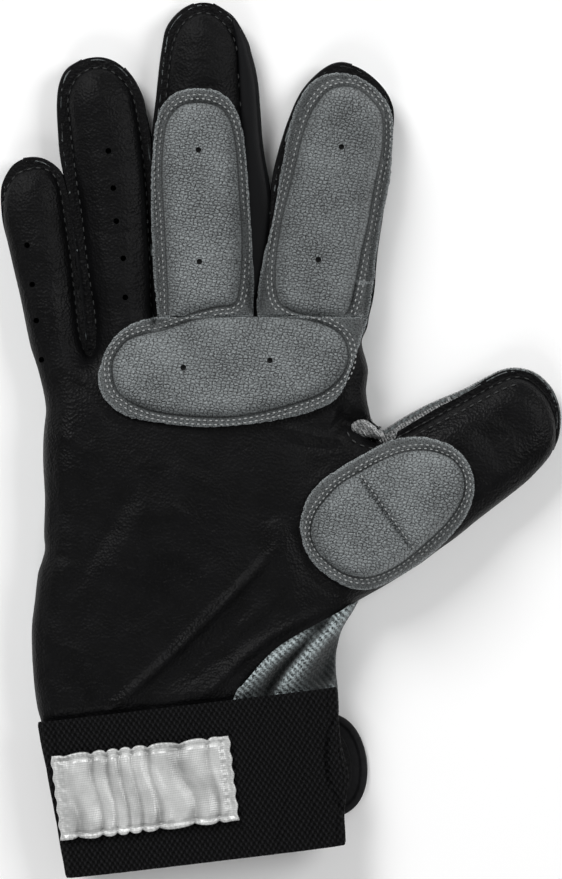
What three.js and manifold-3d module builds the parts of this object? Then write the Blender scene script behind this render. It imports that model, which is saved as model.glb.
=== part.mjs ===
// A padded inner glove for the right hand. It lies on its back with the palm up.
// Millimetres: X runs across the palm toward the thumb, Y along the fingers and Z up out of the palm.

import * as THREE from 'three';
import { mergeVertices } from 'three/addons/utils/BufferGeometryUtils.js';
import Module from 'manifold-3d';

const wasm = await Module();
wasm.setup();

// Sheet thicknesses and clearances
const leatherWall = 0.9;
const coverWall = 0.8;
const seamGap = 0.3;
const hingeGap = 0.6;
const fingerGap = 1.1;
const cutOverrun = 12;

// Heights over the surface that the glove lies on
const partingHeight = 6.5;
const backDrop = 6.9;
const fingerRise = 6.2;
const thumbRise = 9.2;
const palmRise = 10.5;
const gussetHeight = 5;

// The hand: Y is zero on the line where the fingers begin, X is zero at the little finger's outer side
const palmLength = 102;
const thumbRootX = 94.6;
const thumbRootY = -46.5;
const thumbTurn = -54.2;

// Fingers, from the little finger to the index finger
const fingerSizes = {
  little: { width: 15.9, length: 51.5, hingeY: -4.9, leanLeft: -11.5, leanRight: -7 },
  ring: { width: 18.1, length: 73.7, hingeY: 0, leanLeft: -7, leanRight: 0 },
  middle: { width: 27, length: 84.8, hingeY: 3.6, leanLeft: 0, leanRight: 8 },
  index: { width: 30.5, length: 68.4, hingeY: 3.6, leanLeft: 8, leanRight: 8 },
};
const thumbSize = { width: 40.1, length: 55.5, leanLeft: 0, leanRight: 0 };
const fingerNames = Object.keys(fingerSizes);

// Raised pads
const padCrown = 4;
const thumbPadCrown = 4.4;
const ventDiameter = 2.1;

// Cuff, label and strap, in the cuff's own turned frame
const cuffWidth = 81;
const cuffNarrowing = 5.4;
const cuffHeight = 42.5;
const cuffTurn = 6.8;
const cuffCenterX = 45.9;
const cuffCenterY = -122;
const cuffWall = 1.6;
const cuffMiddle = 10.2;
const cuffRise = 6;
const cuffDrop = 6;
const slitWidth = 4;
const slitX = 6;
const labelWidth = 48;
const labelHeight = 22.5;
const labelX = -13.9;
const labelY = 0.5;
const labelWall = 0.5;
const strapHeight = 27;
const strapWall = 1.5;
const strapRootX = -27.5;
const strapRootLength = 9;
const tabStartX = 27;
const tabEndX = 46;
const tabHeight = 29;
const patchWall = 0.7;
const hookEndX = 42;
const hookHeight = 23;
const loopLength = 26;

// How finely the curved walls are divided
const sectionSides = 16;
const padSides = 20;
const ventSides = 8;
const sectionPower = 2.6;
const cuffPower = 3.2;

// Stations of a finger: share along it, left and right insets and height, each as a share
const fingerShares = {
  little: [
    [0, 0, 0, 1], [0.3, 0, 0, 1], [0.6, -0.03, -0.01, 1], [0.78, 0.01, -0.03, 0.97],
    [0.88, 0.1, 0.02, 0.86], [0.94, 0.2, 0.15, 0.68], [0.97, 0.31, 0.27, 0.52], [1, 0.46, 0.44, 0.32],
  ],
  ring: [
    [0, 0, 0, 1], [0.3, 0, 0, 1], [0.6, -0.03, 0.01, 1], [0.78, -0.02, 0.06, 0.97],
    [0.88, 0.02, 0.16, 0.86], [0.94, 0.11, 0.28, 0.7], [0.97, 0.21, 0.37, 0.55], [1, 0.38, 0.5, 0.32],
  ],
  middle: [
    [0, 0, 0, 1], [0.3, 0, 0, 1], [0.6, 0.01, 0.15, 1], [0.78, 0.03, 0.25, 0.97],
    [0.88, 0.06, 0.33, 0.86], [0.94, 0.1, 0.41, 0.7], [0.97, 0.17, 0.49, 0.55], [1, 0.29, 0.6, 0.32],
  ],
  index: [
    [0, 0, 0, 1], [0.3, 0, 0, 1], [0.6, 0.01, -0.02, 1], [0.78, 0.06, -0.02, 0.97],
    [0.88, 0.13, 0.05, 0.86], [0.94, 0.22, 0.18, 0.7], [0.97, 0.29, 0.29, 0.55], [1, 0.42, 0.48, 0.32],
  ],
  thumb: [
    [0, 0, 0, 1], [0.22, 0.14, 0.01, 0.95], [0.5, 0.18, 0.02, 0.85], [0.72, 0.23, 0.05, 0.78],
    [0.85, 0.27, 0.1, 0.7], [0.93, 0.33, 0.19, 0.58], [0.97, 0.39, 0.27, 0.46], [1, 0.46, 0.42, 0.28],
  ],
};

// Stations of the palm: share down it, left and right shifts as shares of its width, height share
const palmShares = [
  [-0.08, -0.02, 0, 0.6], [0.05, 0.015, 0, 0.62], [0.13, 0.04, 0, 0.72], [0.25, 0.055, -0.01, 0.88],
  [0.29, 0.05, -0.1, 0.92], [0.37, 0.05, -0.18, 0.98], [0.48, 0.05, -0.22, 1], [0.58, 0.05, -0.2, 1],
  [0.64, 0.035, -0.13, 0.98], [0.71, 0.025, 0, 0.94], [0.82, 0.015, 0.07, 0.85], [1.1, 0.04, 0.085, 0.7],
];

// Pad outlines on the fingers, as shares of the finger's half width and of its length
const middleFlangeShares = [
  [0, 0.72], [-0.5, 0.7], [-0.86, 0.61], [-0.92, 0.45], [-0.92, 0], [0, -0.03], [0.92, 0], [0.97, 0.2],
  [0.94, 0.4], [0.76, 0.62], [0.45, 0.7],
];
const middlePadShares = [
  [0.06, 0.67], [-0.5, 0.635], [-0.74, 0.54], [-0.7, 0.22], [-0.58, 0.07], [0.02, 0.045], [0.6, 0.07],
  [0.72, 0.28], [0.66, 0.46], [0.5, 0.62],
];
const indexFlangeShares = [
  [0.5, 0.94], [-0.02, 0.89], [-0.34, 0.74], [-0.54, 0.5], [-0.76, 0.2], [-0.92, -0.01], [0, -0.03],
  [0.93, -0.01], [1.1, 0.22], [1.33, 0.55], [1.38, 0.74], [1.15, 0.88],
];
const indexPadShares = [
  [0.63, 0.87], [0.16, 0.81], [-0.1, 0.7], [-0.31, 0.5], [-0.5, 0.24], [-0.5, 0.09], [0.05, 0.045],
  [0.66, 0.08], [0.86, 0.24], [1.05, 0.52], [1.1, 0.74], [0.94, 0.83],
];

// The thumb pad's outlines, as shares of the thumb's half width and of its length; it crosses the root line
const thumbFlangeShares = [
  [-0.63, 0.08], [-0.56, 0.2], [-0.44, 0.3], [-0.2, 0.4], [0.1, 0.46], [0.4, 0.45], [0.66, 0.38],
  [0.8, 0.27], [0.84, 0.1], [0.86, -0.08], [0.84, -0.2], [0.72, -0.32], [0.48, -0.4], [0.16, -0.43],
  [-0.2, -0.41], [-0.5, -0.32], [-0.66, -0.16], [-0.68, -0.04],
];
const thumbPadShares = [
  [-0.55, 0.07], [-0.48, 0.18], [-0.32, 0.27], [-0.08, 0.35], [0.2, 0.39], [0.46, 0.35], [0.64, 0.26],
  [0.7, 0.1], [0.72, -0.08], [0.68, -0.2], [0.54, -0.29], [0.3, -0.35], [0, -0.37], [-0.3, -0.32],
  [-0.5, -0.22], [-0.58, -0.06],
];
const thumbPadCenterShares = [0.08, 0.02];

// The palm pad's outlines, as shares of the palm's width and of its length
const palmFlangeShares = [
  [0.45, -0.06], [0.36, -0.04], [0.29, 0], [0.24, 0.04], [0.215, 0.09], [0.215, 0.14], [0.245, 0.195],
  [0.31, 0.238], [0.42, 0.25], [0.52, 0.257], [0.64, 0.25], [0.74, 0.238], [0.85, 0.212], [0.92, 0.17],
  [0.95, 0.1], [0.96, 0.03], [0.95, -0.05], [0.7, -0.08],
];
const palmPadShares = [
  [0.255, 0.11], [0.27, 0.065], [0.31, 0.03], [0.4, 0.005], [0.5, -0.015], [0.61, -0.022],
  [0.72, -0.022], [0.82, -0.014], [0.895, 0.008], [0.93, 0.045], [0.93, 0.09], [0.905, 0.13],
  [0.86, 0.165], [0.79, 0.19], [0.7, 0.21], [0.6, 0.223], [0.5, 0.223], [0.395, 0.214], [0.31, 0.19],
  [0.27, 0.155],
];
const palmPadCenterShares = [0.6, 0.115];

// Crown of a pad: share out from its centre, and share of the full height there; the rim ends in the sheet
const crownShares = [[0, 1], [0.35, 0.97], [0.62, 0.84], [0.84, 0.52], [1, -0.2]];
const foamOutlineShare = 0.93;
const cavityOutlineShare = 0.97;

// Vent holes, as shares of the finger's half width and length, or of the palm's width and length
const fingerVentShares = {
  little: [[-0.62, 0.14], [-0.76, 0.33], [-0.92, 0.53]],
  ring: [[0.05, 0.12], [0, 0.27], [-0.1, 0.4], [-0.2, 0.52], [-0.32, 0.65]],
  middle: [[-0.06, 0.175], [-0.08, 0.525]],
  index: [[0.15, 0.22], [0.56, 0.66]],
};
const padVentShares = [[0.463, 0.1], [0.717, 0.083]];
const palmVentShares = [[0.055, 0.072]];

// The palm leather ends on this line at the thumb side of the wrist; shares of the palm's width and length
const sidePanelShares = [[0.6, 1.2], [0.6, 1], [0.73, 0.84], [0.86, 0.76], [1, 0.72], [1.3, 0.6], [1.3, 1.2]];

// The web at the thumb crotch, as shares of the thumb's width and length
const webPalmShares = [[-0.53, 0], [-0.48, 0.215]];
const webShares = [[-0.477, 0.03], [-0.465, 0.2], [-0.43, 0.235], [-0.385, 0.215], [-0.4, 0.17]];

const looks = {
  leather: { color: 0x18181a, roughness: 0.45, metalness: 0 },
  knit: { color: 0x6a6f70, roughness: 0.9, metalness: 0 },
  gusset: { color: 0x1f2021, roughness: 0.8, metalness: 0 },
  cover: { color: 0x777c7d, roughness: 0.75, metalness: 0 },
  foam: { color: 0xd9d5c8, roughness: 0.95, metalness: 0 },
  elastic: { color: 0x151516, roughness: 0.85, metalness: 0 },
  satin: { color: 0xc9c9c7, roughness: 0.4, metalness: 0 },
  rubber: { color: 0x1e1e1f, roughness: 0.5, metalness: 0 },
  fastener: { color: 0x131313, roughness: 1, metalness: 0 },
};

function material(kind) {
  return new THREE.MeshStandardMaterial(looks[kind]);
}

function piece(name, solid, kind) {
  const mesh = new THREE.Mesh(toGeometry(solid), material(kind));
  mesh.name = name;
  return mesh;
}

// A closed mesh as a solid that can be joined and cut, and back again
function toSolid(geometry) {
  const bare = geometry.clone();
  bare.deleteAttribute('normal');
  bare.deleteAttribute('uv');
  const merged = mergeVertices(bare);
  const mesh = new wasm.Mesh({
    numProp: 3,
    vertProperties: merged.attributes.position.array,
    triVerts: new Uint32Array(merged.index.array),
  });
  return new wasm.Manifold(mesh);
}

function toGeometry(solid) {
  const mesh = solid.getMesh();
  const geometry = new THREE.BufferGeometry();
  geometry.setAttribute('position', new THREE.BufferAttribute(mesh.vertProperties, 3));
  geometry.setIndex(new THREE.BufferAttribute(mesh.triVerts, 1));
  geometry.computeVertexNormals();
  return geometry;
}

// A closed body through rings of points; a ring of one point closes an end
function throughRings(rings) {
  const positions = [];
  const starts = rings.map((ring) => {
    const start = positions.length / 3;
    ring.forEach((point) => positions.push(point.x, point.y, point.z));
    return start;
  });
  const triangles = [];
  for (let k = 0; k + 1 < rings.length; k++) {
    const sides = Math.max(rings[k].length, rings[k + 1].length);
    for (let j = 0; j < sides; j++) {
      const next = (j + 1) % sides;
      const [a, b] = [starts[k] + j, starts[k] + next];
      const [c, d] = [starts[k + 1] + j, starts[k + 1] + next];
      if (rings[k].length === 1) {
        triangles.push(starts[k], d, c);
      } else if (rings[k + 1].length === 1) {
        triangles.push(a, b, starts[k + 1]);
      } else {
        triangles.push(a, b, d, a, d, c);
      }
    }
  }
  const geometry = new THREE.BufferGeometry();
  geometry.setAttribute('position', new THREE.Float32BufferAttribute(positions, 3));
  geometry.setIndex(triangles);
  return facingOut(geometry);
}

function facingOut(geometry) {
  const position = geometry.attributes.position;
  const index = geometry.index.array;
  const corner = (n) => new THREE.Vector3().fromBufferAttribute(position, index[n]);
  let volume = 0;
  for (let n = 0; n < index.length; n += 3) {
    volume += corner(n).dot(corner(n + 1).cross(corner(n + 2)));
  }
  if (volume < 0) {
    for (let n = 0; n < index.length; n += 3) {
      [index[n + 1], index[n + 2]] = [index[n + 2], index[n + 1]];
    }
  }
  return geometry;
}

function block(low, high) {
  const size = new THREE.Vector3().subVectors(high, low);
  const geometry = new THREE.BoxGeometry(size.x, size.y, size.z);
  geometry.translate((low.x + high.x) / 2, (low.y + high.y) / 2, (low.z + high.z) / 2);
  return toSolid(geometry);
}

// An upright prism over an outline of plan points
function prism(outline, low, high) {
  const shape = new THREE.Shape(outline);
  const geometry = new THREE.ExtrudeGeometry(shape, { depth: high - low, bevelEnabled: false });
  geometry.translate(0, 0, low);
  return toSolid(geometry);
}

const seamTop = partingHeight + gussetHeight / 2;
const seamLow = partingHeight - gussetHeight / 2;

// Everything beyond what one of these sheets can reach
const farAway = 300;
const above = (height) => block(
  new THREE.Vector3(-farAway, -farAway, height),
  new THREE.Vector3(farAway, farAway, farAway),
);
const below = (height) => block(
  new THREE.Vector3(-farAway, -farAway, -farAway),
  new THREE.Vector3(farAway, farAway, height),
);
const rightOf = (x) => block(
  new THREE.Vector3(x, -farAway, -farAway),
  new THREE.Vector3(farAway, farAway, farAway),
);
const leftOf = (x) => block(
  new THREE.Vector3(-farAway, -farAway, -farAway),
  new THREE.Vector3(x, farAway, farAway),
);
const beyond = (y) => block(
  new THREE.Vector3(-farAway, y, -farAway),
  new THREE.Vector3(farAway, farAway, farAway),
);

// A rounded flat section across the glove between two sides
function sectionRing(section, power, grow) {
  const center = (section.left + section.right) / 2;
  const half = (section.right - section.left) / 2 + grow;
  const ring = [];
  for (let j = 0; j < sectionSides; j++) {
    const angle = (2 * Math.PI * j) / sectionSides;
    const across = Math.sign(Math.cos(angle)) * Math.abs(Math.cos(angle)) ** (2 / power);
    const upward = Math.sign(Math.sin(angle)) * Math.abs(Math.sin(angle)) ** (2 / power);
    const reach = upward > 0 ? section.rise + grow : section.drop + grow;
    ring.push(new THREE.Vector3(center + half * across, section.y, section.middle + reach * upward));
  }
  return ring;
}

function closedLoft(rings) {
  const middleOf = (ring) => {
    const sum = ring.reduce((total, point) => total.add(point), new THREE.Vector3());
    return [sum.divideScalar(ring.length)];
  };
  return toSolid(throughRings([middleOf(rings[0]), ...rings, middleOf(rings[rings.length - 1])]));
}

// Values between the rows of a table of shares, whose first column is the place
function between(rows, place) {
  let k = 0;
  while (k + 2 < rows.length && rows[k + 1][0] < place) {
    k++;
  }
  const share = (place - rows[k][0]) / (rows[k + 1][0] - rows[k][0]);
  return rows[k].map((value, column) => value + (rows[k + 1][column] - value) * share);
}

const slope = (degrees) => Math.tan(THREE.MathUtils.degToRad(degrees));

// Section of a finger at a distance from its root; the sides follow two leaning lines
function fingerSection(size, rows, rise, y) {
  const [, leftShare, rightShare, heightShare] = between(rows, Math.max(y, 0) / size.length);
  const leftLine = -size.width / 2 + Math.max(y, 0) * slope(size.leanLeft) + fingerGap / 2;
  const rightLine = size.width / 2 + Math.max(y, 0) * slope(size.leanRight) - fingerGap / 2;
  const span = rightLine - leftLine;
  return {
    y,
    left: leftLine + leftShare * span,
    right: rightLine - rightShare * span,
    middle: partingHeight,
    rise: rise * heightShare,
    drop: backDrop * heightShare,
  };
}

function fingerLoft(size, rows, rise, grow) {
  const root = fingerSection(size, rows, rise, -cutOverrun);
  const rings = [sectionRing(root, sectionPower, grow)];
  rows.forEach(([along], k) => {
    const section = fingerSection(size, rows, rise, along * size.length);
    if (k === rows.length - 1) {
      section.y += grow;
    }
    rings.push(sectionRing(section, sectionPower, grow));
  });
  return closedLoft(rings);
}

function surfaceHeight(section, power, x) {
  const center = (section.left + section.right) / 2;
  const across = Math.min(Math.abs(x - center) / ((section.right - section.left) / 2), 1);
  return section.middle + section.rise * (1 - across ** power) ** (1 / power);
}

// Pads

// Points added to each side of a drawn outline
const padOutlineSteps = 8;
const flangeOutlineSteps = 2;

function smoothOutline(points, steps) {
  const curve = new THREE.CatmullRomCurve3(points.map(([x, y]) => new THREE.Vector3(x, y, 0)), true);
  return curve.getPoints(points.length * steps).slice(1);
}

// Distance from a centre to an outline in each of the pad's directions
function reachAround(points, center) {
  const outline = smoothOutline(points, padOutlineSteps);
  const polar = outline.map((point) => {
    const [dx, dy] = [point.x - center[0], point.y - center[1]];
    return { angle: (Math.atan2(dy, dx) + 2 * Math.PI) % (2 * Math.PI), reach: Math.hypot(dx, dy) };
  });
  polar.sort((a, b) => a.angle - b.angle);
  const rows = polar.map(({ angle, reach }) => [angle, reach]);
  const last = rows[rows.length - 1];
  const first = rows[0];
  rows.unshift([last[0] - 2 * Math.PI, last[1]]);
  rows.push([first[0] + 2 * Math.PI, first[1]]);
  const reaches = [];
  for (let j = 0; j < padSides; j++) {
    reaches.push(between(rows, (2 * Math.PI * j) / padSides)[1]);
  }
  return reaches;
}

// A solid over an outline: its top stands over the surface by a lift, its foot is hidden inside the shell
function padBody(center, reaches, profile, surface) {
  const place = (share, j, lift) => {
    const angle = (2 * Math.PI * j) / padSides;
    const x = center[0] + Math.cos(angle) * reaches[j] * share;
    const y = center[1] + Math.sin(angle) * reaches[j] * share;
    return new THREE.Vector3(x, y, surface(x, y) + lift);
  };
  const around = (share, lift) => Array.from({ length: padSides }, (_, j) => place(share, j, lift));
  const rings = [[place(0, 0, profile[0][1])]];
  profile.slice(1).forEach(([share, lift]) => rings.push(around(share, lift)));
  const edge = rings[rings.length - 1];
  rings.push(edge.map((point) => new THREE.Vector3(point.x, point.y, partingHeight)));
  rings.push([new THREE.Vector3(center[0], center[1], partingHeight)]);
  return toSolid(throughRings(rings));
}

// A cover is a crowned sheet with a flat sewn flange round it, and the foam fills the crown
function padPieces(pad) {
  const { center, flange, raised, crown, surface, grownLoft } = pad;
  const flangeLift = seamGap + coverWall;
  const base = grownLoft(seamGap);
  const reaches = reachAround(raised, center);
  const crowned = (extra) => crownShares.map(([share, height]) => [share, crown * height + extra]);
  const scaled = (share) => reaches.map((reach) => reach * share);
  const flangeOutline = smoothOutline(flange, flangeOutlineSteps).map((point) => new THREE.Vector2(point.x, point.y));
  const sheet = grownLoft(flangeLift).intersect(prism(flangeOutline, seamTop, farAway));
  const dome = padBody(center, reaches, crowned(flangeLift), surface);
  const hollow = padBody(center, scaled(cavityOutlineShare), crowned(seamGap), surface);
  const core = padBody(center, scaled(foamOutlineShare), crowned(0), surface);
  return {
    cover: sheet.add(dome).subtract(hollow).subtract(base),
    foam: core.subtract(base),
  };
}

// A vertical hole through everything that lies on the palm side
function ventHoles(places) {
  const holes = places.map(([x, y]) => {
    const geometry = new THREE.CylinderGeometry(ventDiameter / 2, ventDiameter / 2, farAway, ventSides);
    geometry.rotateX(Math.PI / 2);
    geometry.translate(x, y, farAway / 2 + partingHeight);
    return toSolid(geometry);
  });
  return holes;
}

const pierced = (solid, holes) => holes.reduce((rest, hole) => rest.subtract(hole), solid);

// Fingers

// One side of a finger, divided along the line from the middle of its root to its tip
function fingerHalf(side, tipPoint, inset) {
  const sign = side === 'left' ? -1 : 1;
  const along = tipPoint.clone().setLength(farAway);
  const outline = [
    [sign * inset - along.x, -along.y], [sign * inset + along.x, along.y],
    [sign * farAway, along.y], [sign * farAway, -along.y],
  ];
  if (sign < 0) {
    outline.reverse();
  }
  return prism(outline.map(([x, y]) => new THREE.Vector2(x, y)), -farAway, farAway);
}

function gussetPiece(shell, side, tipPoint) {
  const strip = shell
    .intersect(below(seamTop - seamGap / 2))
    .intersect(above(seamLow + seamGap / 2));
  return strip.intersect(fingerHalf(side, tipPoint, seamGap / 2));
}

// Leather above the seams and knit below them; a side without a gusset is sewn at the parting height
function frontAndBack(shell, gussetSides, tipPoint) {
  let front = above(seamTop + seamGap / 2);
  let back = below(seamLow - seamGap / 2);
  ['left', 'right'].filter((side) => !gussetSides.includes(side)).forEach((side) => {
    const half = fingerHalf(side, tipPoint, seamGap);
    front = front.add(half.intersect(above(partingHeight + seamGap / 2)));
    back = back.add(half.intersect(below(partingHeight - seamGap / 2)));
  });
  return { front: shell.intersect(front), back: shell.intersect(back) };
}

function fingerGroup(name, size, rise, gussetSides, padShape) {
  const rows = fingerShares[name];
  const outer = fingerLoft(size, rows, rise, 0);
  const shell = outer
    .subtract(fingerLoft(size, rows, rise, -leatherWall))
    .intersect(beyond(hingeGap / 2))
    .subtract(below(0));
  const tip = fingerSection(size, rows, rise, size.length);
  const tipPoint = new THREE.Vector2((tip.left + tip.right) / 2, size.length);
  const halfWidth = size.width / 2;
  const ventPlaces = (fingerVentShares[name] ?? []).map(([x, y]) => [x * halfWidth, y * size.length]);
  const holes = ventHoles(ventPlaces);
  const { front, back } = frontAndBack(shell, gussetSides, tipPoint);
  const group = new THREE.Group();
  group.add(piece(`${name}_front`, pierced(front, holes), 'leather'));
  group.add(piece(`${name}_back`, back, 'knit'));
  gussetSides.forEach((side) => {
    const label = gussetSides.length > 1 ? `${name}_gusset_${side}` : `${name}_gusset`;
    group.add(piece(label, gussetPiece(shell, side, tipPoint), name === 'thumb' ? 'knit' : 'gusset'));
  });
  if (padShape) {
    const inSizes = ([x, y]) => [x * halfWidth, y * size.length];
    const pad = padPieces({
      center: inSizes(padShape.centerShares),
      flange: padShape.flangeShares.map(inSizes),
      raised: padShape.padShares.map(inSizes),
      crown: padShape.crown,
      surface: (x, y) => surfaceHeight(fingerSection(size, rows, rise, y), sectionPower, x),
      grownLoft: (grow) => fingerLoft(size, rows, rise, grow),
    });
    const distal = beyond(hingeGap / 2);
    group.add(piece(`${name}_pad_cover`, pierced(pad.cover.intersect(distal), holes), 'cover'));
    group.add(piece(`${name}_pad_foam`, pierced(pad.foam.intersect(distal), holes), 'foam'));
  }
  return group;
}

// The palm

const palmWidth = fingerNames.reduce((sum, name) => sum + fingerSizes[name].width, 0);

function palmSection(y) {
  const [, leftShare, rightShare, heightShare] = between(palmShares, -y / palmLength);
  return {
    y,
    left: leftShare * palmWidth,
    right: palmWidth - rightShare * palmWidth,
    middle: partingHeight,
    rise: palmRise * heightShare,
    drop: backDrop,
  };
}

function palmLoft(grow) {
  const rings = palmShares.map(([along]) => sectionRing(palmSection(-along * palmLength), sectionPower, grow));
  return closedLoft(rings);
}

// From the thumb's own plan to the hand's plan
function fromThumb([x, y]) {
  const turn = THREE.MathUtils.degToRad(thumbTurn);
  return new THREE.Vector2(x, y)
    .rotateAround(new THREE.Vector2(), turn)
    .add(new THREE.Vector2(thumbRootX, thumbRootY));
}

const inThumbSizes = ([x, y]) => [x * thumbSize.width, y * thumbSize.length];

function thumbCut() {
  const [corner, crotch] = webPalmShares.map(inThumbSizes);
  const root = -hingeGap / 2;
  const outline = [
    [corner[0], root], [farAway, root], [farAway, farAway], [crotch[0], farAway], crotch,
  ];
  return prism(outline.map(fromThumb), -farAway, farAway);
}

function fingerCuts() {
  let start = 0;
  const cuts = fingerNames.map((name, k) => {
    const size = fingerSizes[name];
    const low = new THREE.Vector3(k === 0 ? -farAway : start, size.hingeY - hingeGap / 2, -farAway);
    start += size.width;
    const high = new THREE.Vector3(k === fingerNames.length - 1 ? farAway : start, farAway, farAway);
    return block(low, high);
  });
  return cuts.reduce((all, cut) => all.add(cut));
}

// The space that the turned cuff and its seam take from the wrist end of the palm
function cuffCut() {
  const turn = THREE.MathUtils.degToRad(cuffTurn);
  const center = new THREE.Vector2(cuffCenterX, cuffCenterY);
  const edge = cuffHeight / 2 + seamGap;
  const corners = [[-farAway, edge], [farAway, edge], [farAway, -farAway], [-farAway, -farAway]];
  const outline = corners
    .map(([x, y]) => new THREE.Vector2(x, y).rotateAround(new THREE.Vector2(), turn))
    .map((point) => point.add(center));
  return prism(outline, -farAway, farAway);
}

function palmPoint([x, y]) {
  return [x * palmWidth, -y * palmLength];
}

function handPieces() {
  const cuts = fingerCuts().add(thumbCut()).add(cuffCut());
  const shell = palmLoft(0).subtract(palmLoft(-leatherWall)).subtract(below(0)).subtract(cuts);
  const upper = shell.intersect(above(partingHeight + seamGap / 2));
  const sideOutline = sidePanelShares.map((row) => new THREE.Vector2(...palmPoint(row)));
  const sideRegion = prism(sideOutline, -farAway, farAway);
  const shiftedOutline = sideOutline.map((point) => point.clone().add(new THREE.Vector2(seamGap, -seamGap)));
  const padHoles = ventHoles(padVentShares.map(palmPoint));
  const holes = [...padHoles, ...ventHoles(palmVentShares.map(palmPoint))];
  return [
    piece('palm_leather', pierced(upper.subtract(sideRegion), holes), 'leather'),
    piece('side_knit_panel', upper.intersect(prism(shiftedOutline, -farAway, farAway)), 'knit'),
    piece('back_panel', shell.intersect(below(partingHeight - seamGap / 2)), 'knit'),
    ...palmPadPieces(cuts, padHoles),
    ...thumbRootPadPieces(),
  ];
}

const palmSurface = (x, y) => surfaceHeight(palmSection(y), sectionPower, x);

function palmPadPieces(cuts, holes) {
  const pad = padPieces({
    center: palmPoint(palmPadCenterShares),
    flange: palmFlangeShares.map(palmPoint),
    raised: palmPadShares.map(palmPoint),
    crown: padCrown,
    surface: palmSurface,
    grownLoft: palmLoft,
  });
  return [
    piece('palm_pad_cover', pierced(pad.cover.subtract(cuts), holes), 'cover'),
    piece('palm_pad_foam', pierced(pad.foam.subtract(cuts), holes), 'foam'),
  ];
}

// The near half of the oval thumb pad, which ends at the thumb's root line
function thumbRootPadPieces() {
  const inHand = ([x, y]) => fromThumb([x * thumbSize.width / 2, y * thumbSize.length]).toArray();
  const pad = padPieces({
    center: inHand(thumbPadCenterShares),
    flange: thumbFlangeShares.map(inHand),
    raised: thumbPadShares.map(inHand),
    crown: thumbPadCrown,
    surface: palmSurface,
    grownLoft: palmLoft,
  });
  return [
    piece('thumb_root_pad_cover', pad.cover.subtract(thumbCut()), 'cover'),
    piece('thumb_root_pad_foam', pad.foam.subtract(thumbCut()), 'foam'),
  ];
}

// The cuff, in its own frame

function cuffSection(y) {
  const narrow = cuffNarrowing * (cuffHeight / 2 - y) / cuffHeight;
  return {
    y,
    left: -(cuffWidth - narrow) / 2,
    right: (cuffWidth - narrow) / 2,
    middle: cuffMiddle,
    rise: cuffRise,
    drop: cuffDrop,
  };
}

function cuffLoft(grow, overrun) {
  const reach = cuffHeight / 2 + overrun;
  return closedLoft([-reach, reach].map((y) => sectionRing(cuffSection(y), cuffPower, grow)));
}

function cuffPieces() {
  const band = cuffLoft(0, 0).subtract(cuffLoft(-cuffWall, cutOverrun));
  const lower = band.intersect(below(cuffMiddle - seamGap / 2));
  const labelBlock = block(
    new THREE.Vector3(labelX - labelWidth / 2, labelY - labelHeight / 2, cuffMiddle),
    new THREE.Vector3(labelX + labelWidth / 2, labelY + labelHeight / 2, farAway),
  );
  const labelSheet = cuffLoft(seamGap + labelWall, 0).subtract(cuffLoft(seamGap, cutOverrun));
  return [
    piece('cuff_front', band.intersect(above(cuffMiddle + seamGap / 2)), 'elastic'),
    piece('cuff_back_outer', lower.intersect(leftOf(slitX - slitWidth / 2)), 'elastic'),
    piece('cuff_back_inner', lower.intersect(rightOf(slitX + slitWidth / 2)), 'elastic'),
    piece('label', labelSheet.intersect(labelBlock), 'satin'),
  ];
}

const outsideCuff = () => cuffLoft(seamGap, cutOverrun);

function strapRoot() {
  const rootBlock = block(
    new THREE.Vector3(strapRootX - strapRootLength, -strapHeight / 2, 0),
    new THREE.Vector3(strapRootX - hingeGap / 2, strapHeight / 2, cuffMiddle),
  );
  return rootBlock.subtract(outsideCuff());
}

const hookTop = strapWall + seamGap + patchWall;

function loopPatch() {
  const patchBlock = block(
    new THREE.Vector3(slitX + slitWidth / 2, -hookHeight / 2, hookTop + seamGap),
    new THREE.Vector3(slitX + slitWidth / 2 + loopLength, hookHeight / 2, cuffMiddle),
  );
  return patchBlock.subtract(outsideCuff());
}

function strapWeb() {
  return block(
    new THREE.Vector3(strapRootX + hingeGap / 2, -strapHeight / 2, 0),
    new THREE.Vector3(tabStartX - seamGap / 2, strapHeight / 2, strapWall),
  );
}

// A plate with a straight root and a round end
const roundShare = 0.75;
const roundSides = 8;

function roundEnd(startX, endX, height, low, high) {
  const bow = (endX - startX) * roundShare;
  const shape = new THREE.Shape();
  shape.moveTo(startX, -height / 2);
  shape.lineTo(endX - bow, -height / 2);
  shape.bezierCurveTo(endX, -height / 2, endX, -height / 4, endX, 0);
  shape.bezierCurveTo(endX, height / 4, endX, height / 2, endX - bow, height / 2);
  shape.lineTo(startX, height / 2);
  const depth = high - low;
  const geometry = new THREE.ExtrudeGeometry(shape, { depth, bevelEnabled: false, curveSegments: roundSides });
  geometry.translate(0, 0, low);
  return toSolid(geometry);
}

function strapPieces() {
  const tabStart = tabStartX + seamGap / 2;
  return [
    piece('strap_web', strapWeb(), 'elastic'),
    piece('strap_tab', roundEnd(tabStart, tabEndX, tabHeight, 0, strapWall), 'rubber'),
    piece('hook_patch', roundEnd(tabStart, hookEndX, hookHeight, strapWall + seamGap, hookTop), 'fastener'),
  ];
}

// Assembly

const glove = new THREE.Group();
glove.add(...handPieces());

const padShapes = {
  middle: {
    flangeShares: middleFlangeShares,
    padShares: middlePadShares,
    centerShares: [0.02, 0.35],
    crown: padCrown,
  },
  index: {
    flangeShares: indexFlangeShares,
    padShares: indexPadShares,
    centerShares: [0.35, 0.45],
    crown: padCrown,
  },
  thumb: {
    flangeShares: thumbFlangeShares,
    padShares: thumbPadShares,
    centerShares: thumbPadCenterShares,
    crown: thumbPadCrown,
  },
};
const gussets = { little: ['right'], ring: ['left', 'right'], middle: ['left', 'right'], index: ['left'] };

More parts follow.
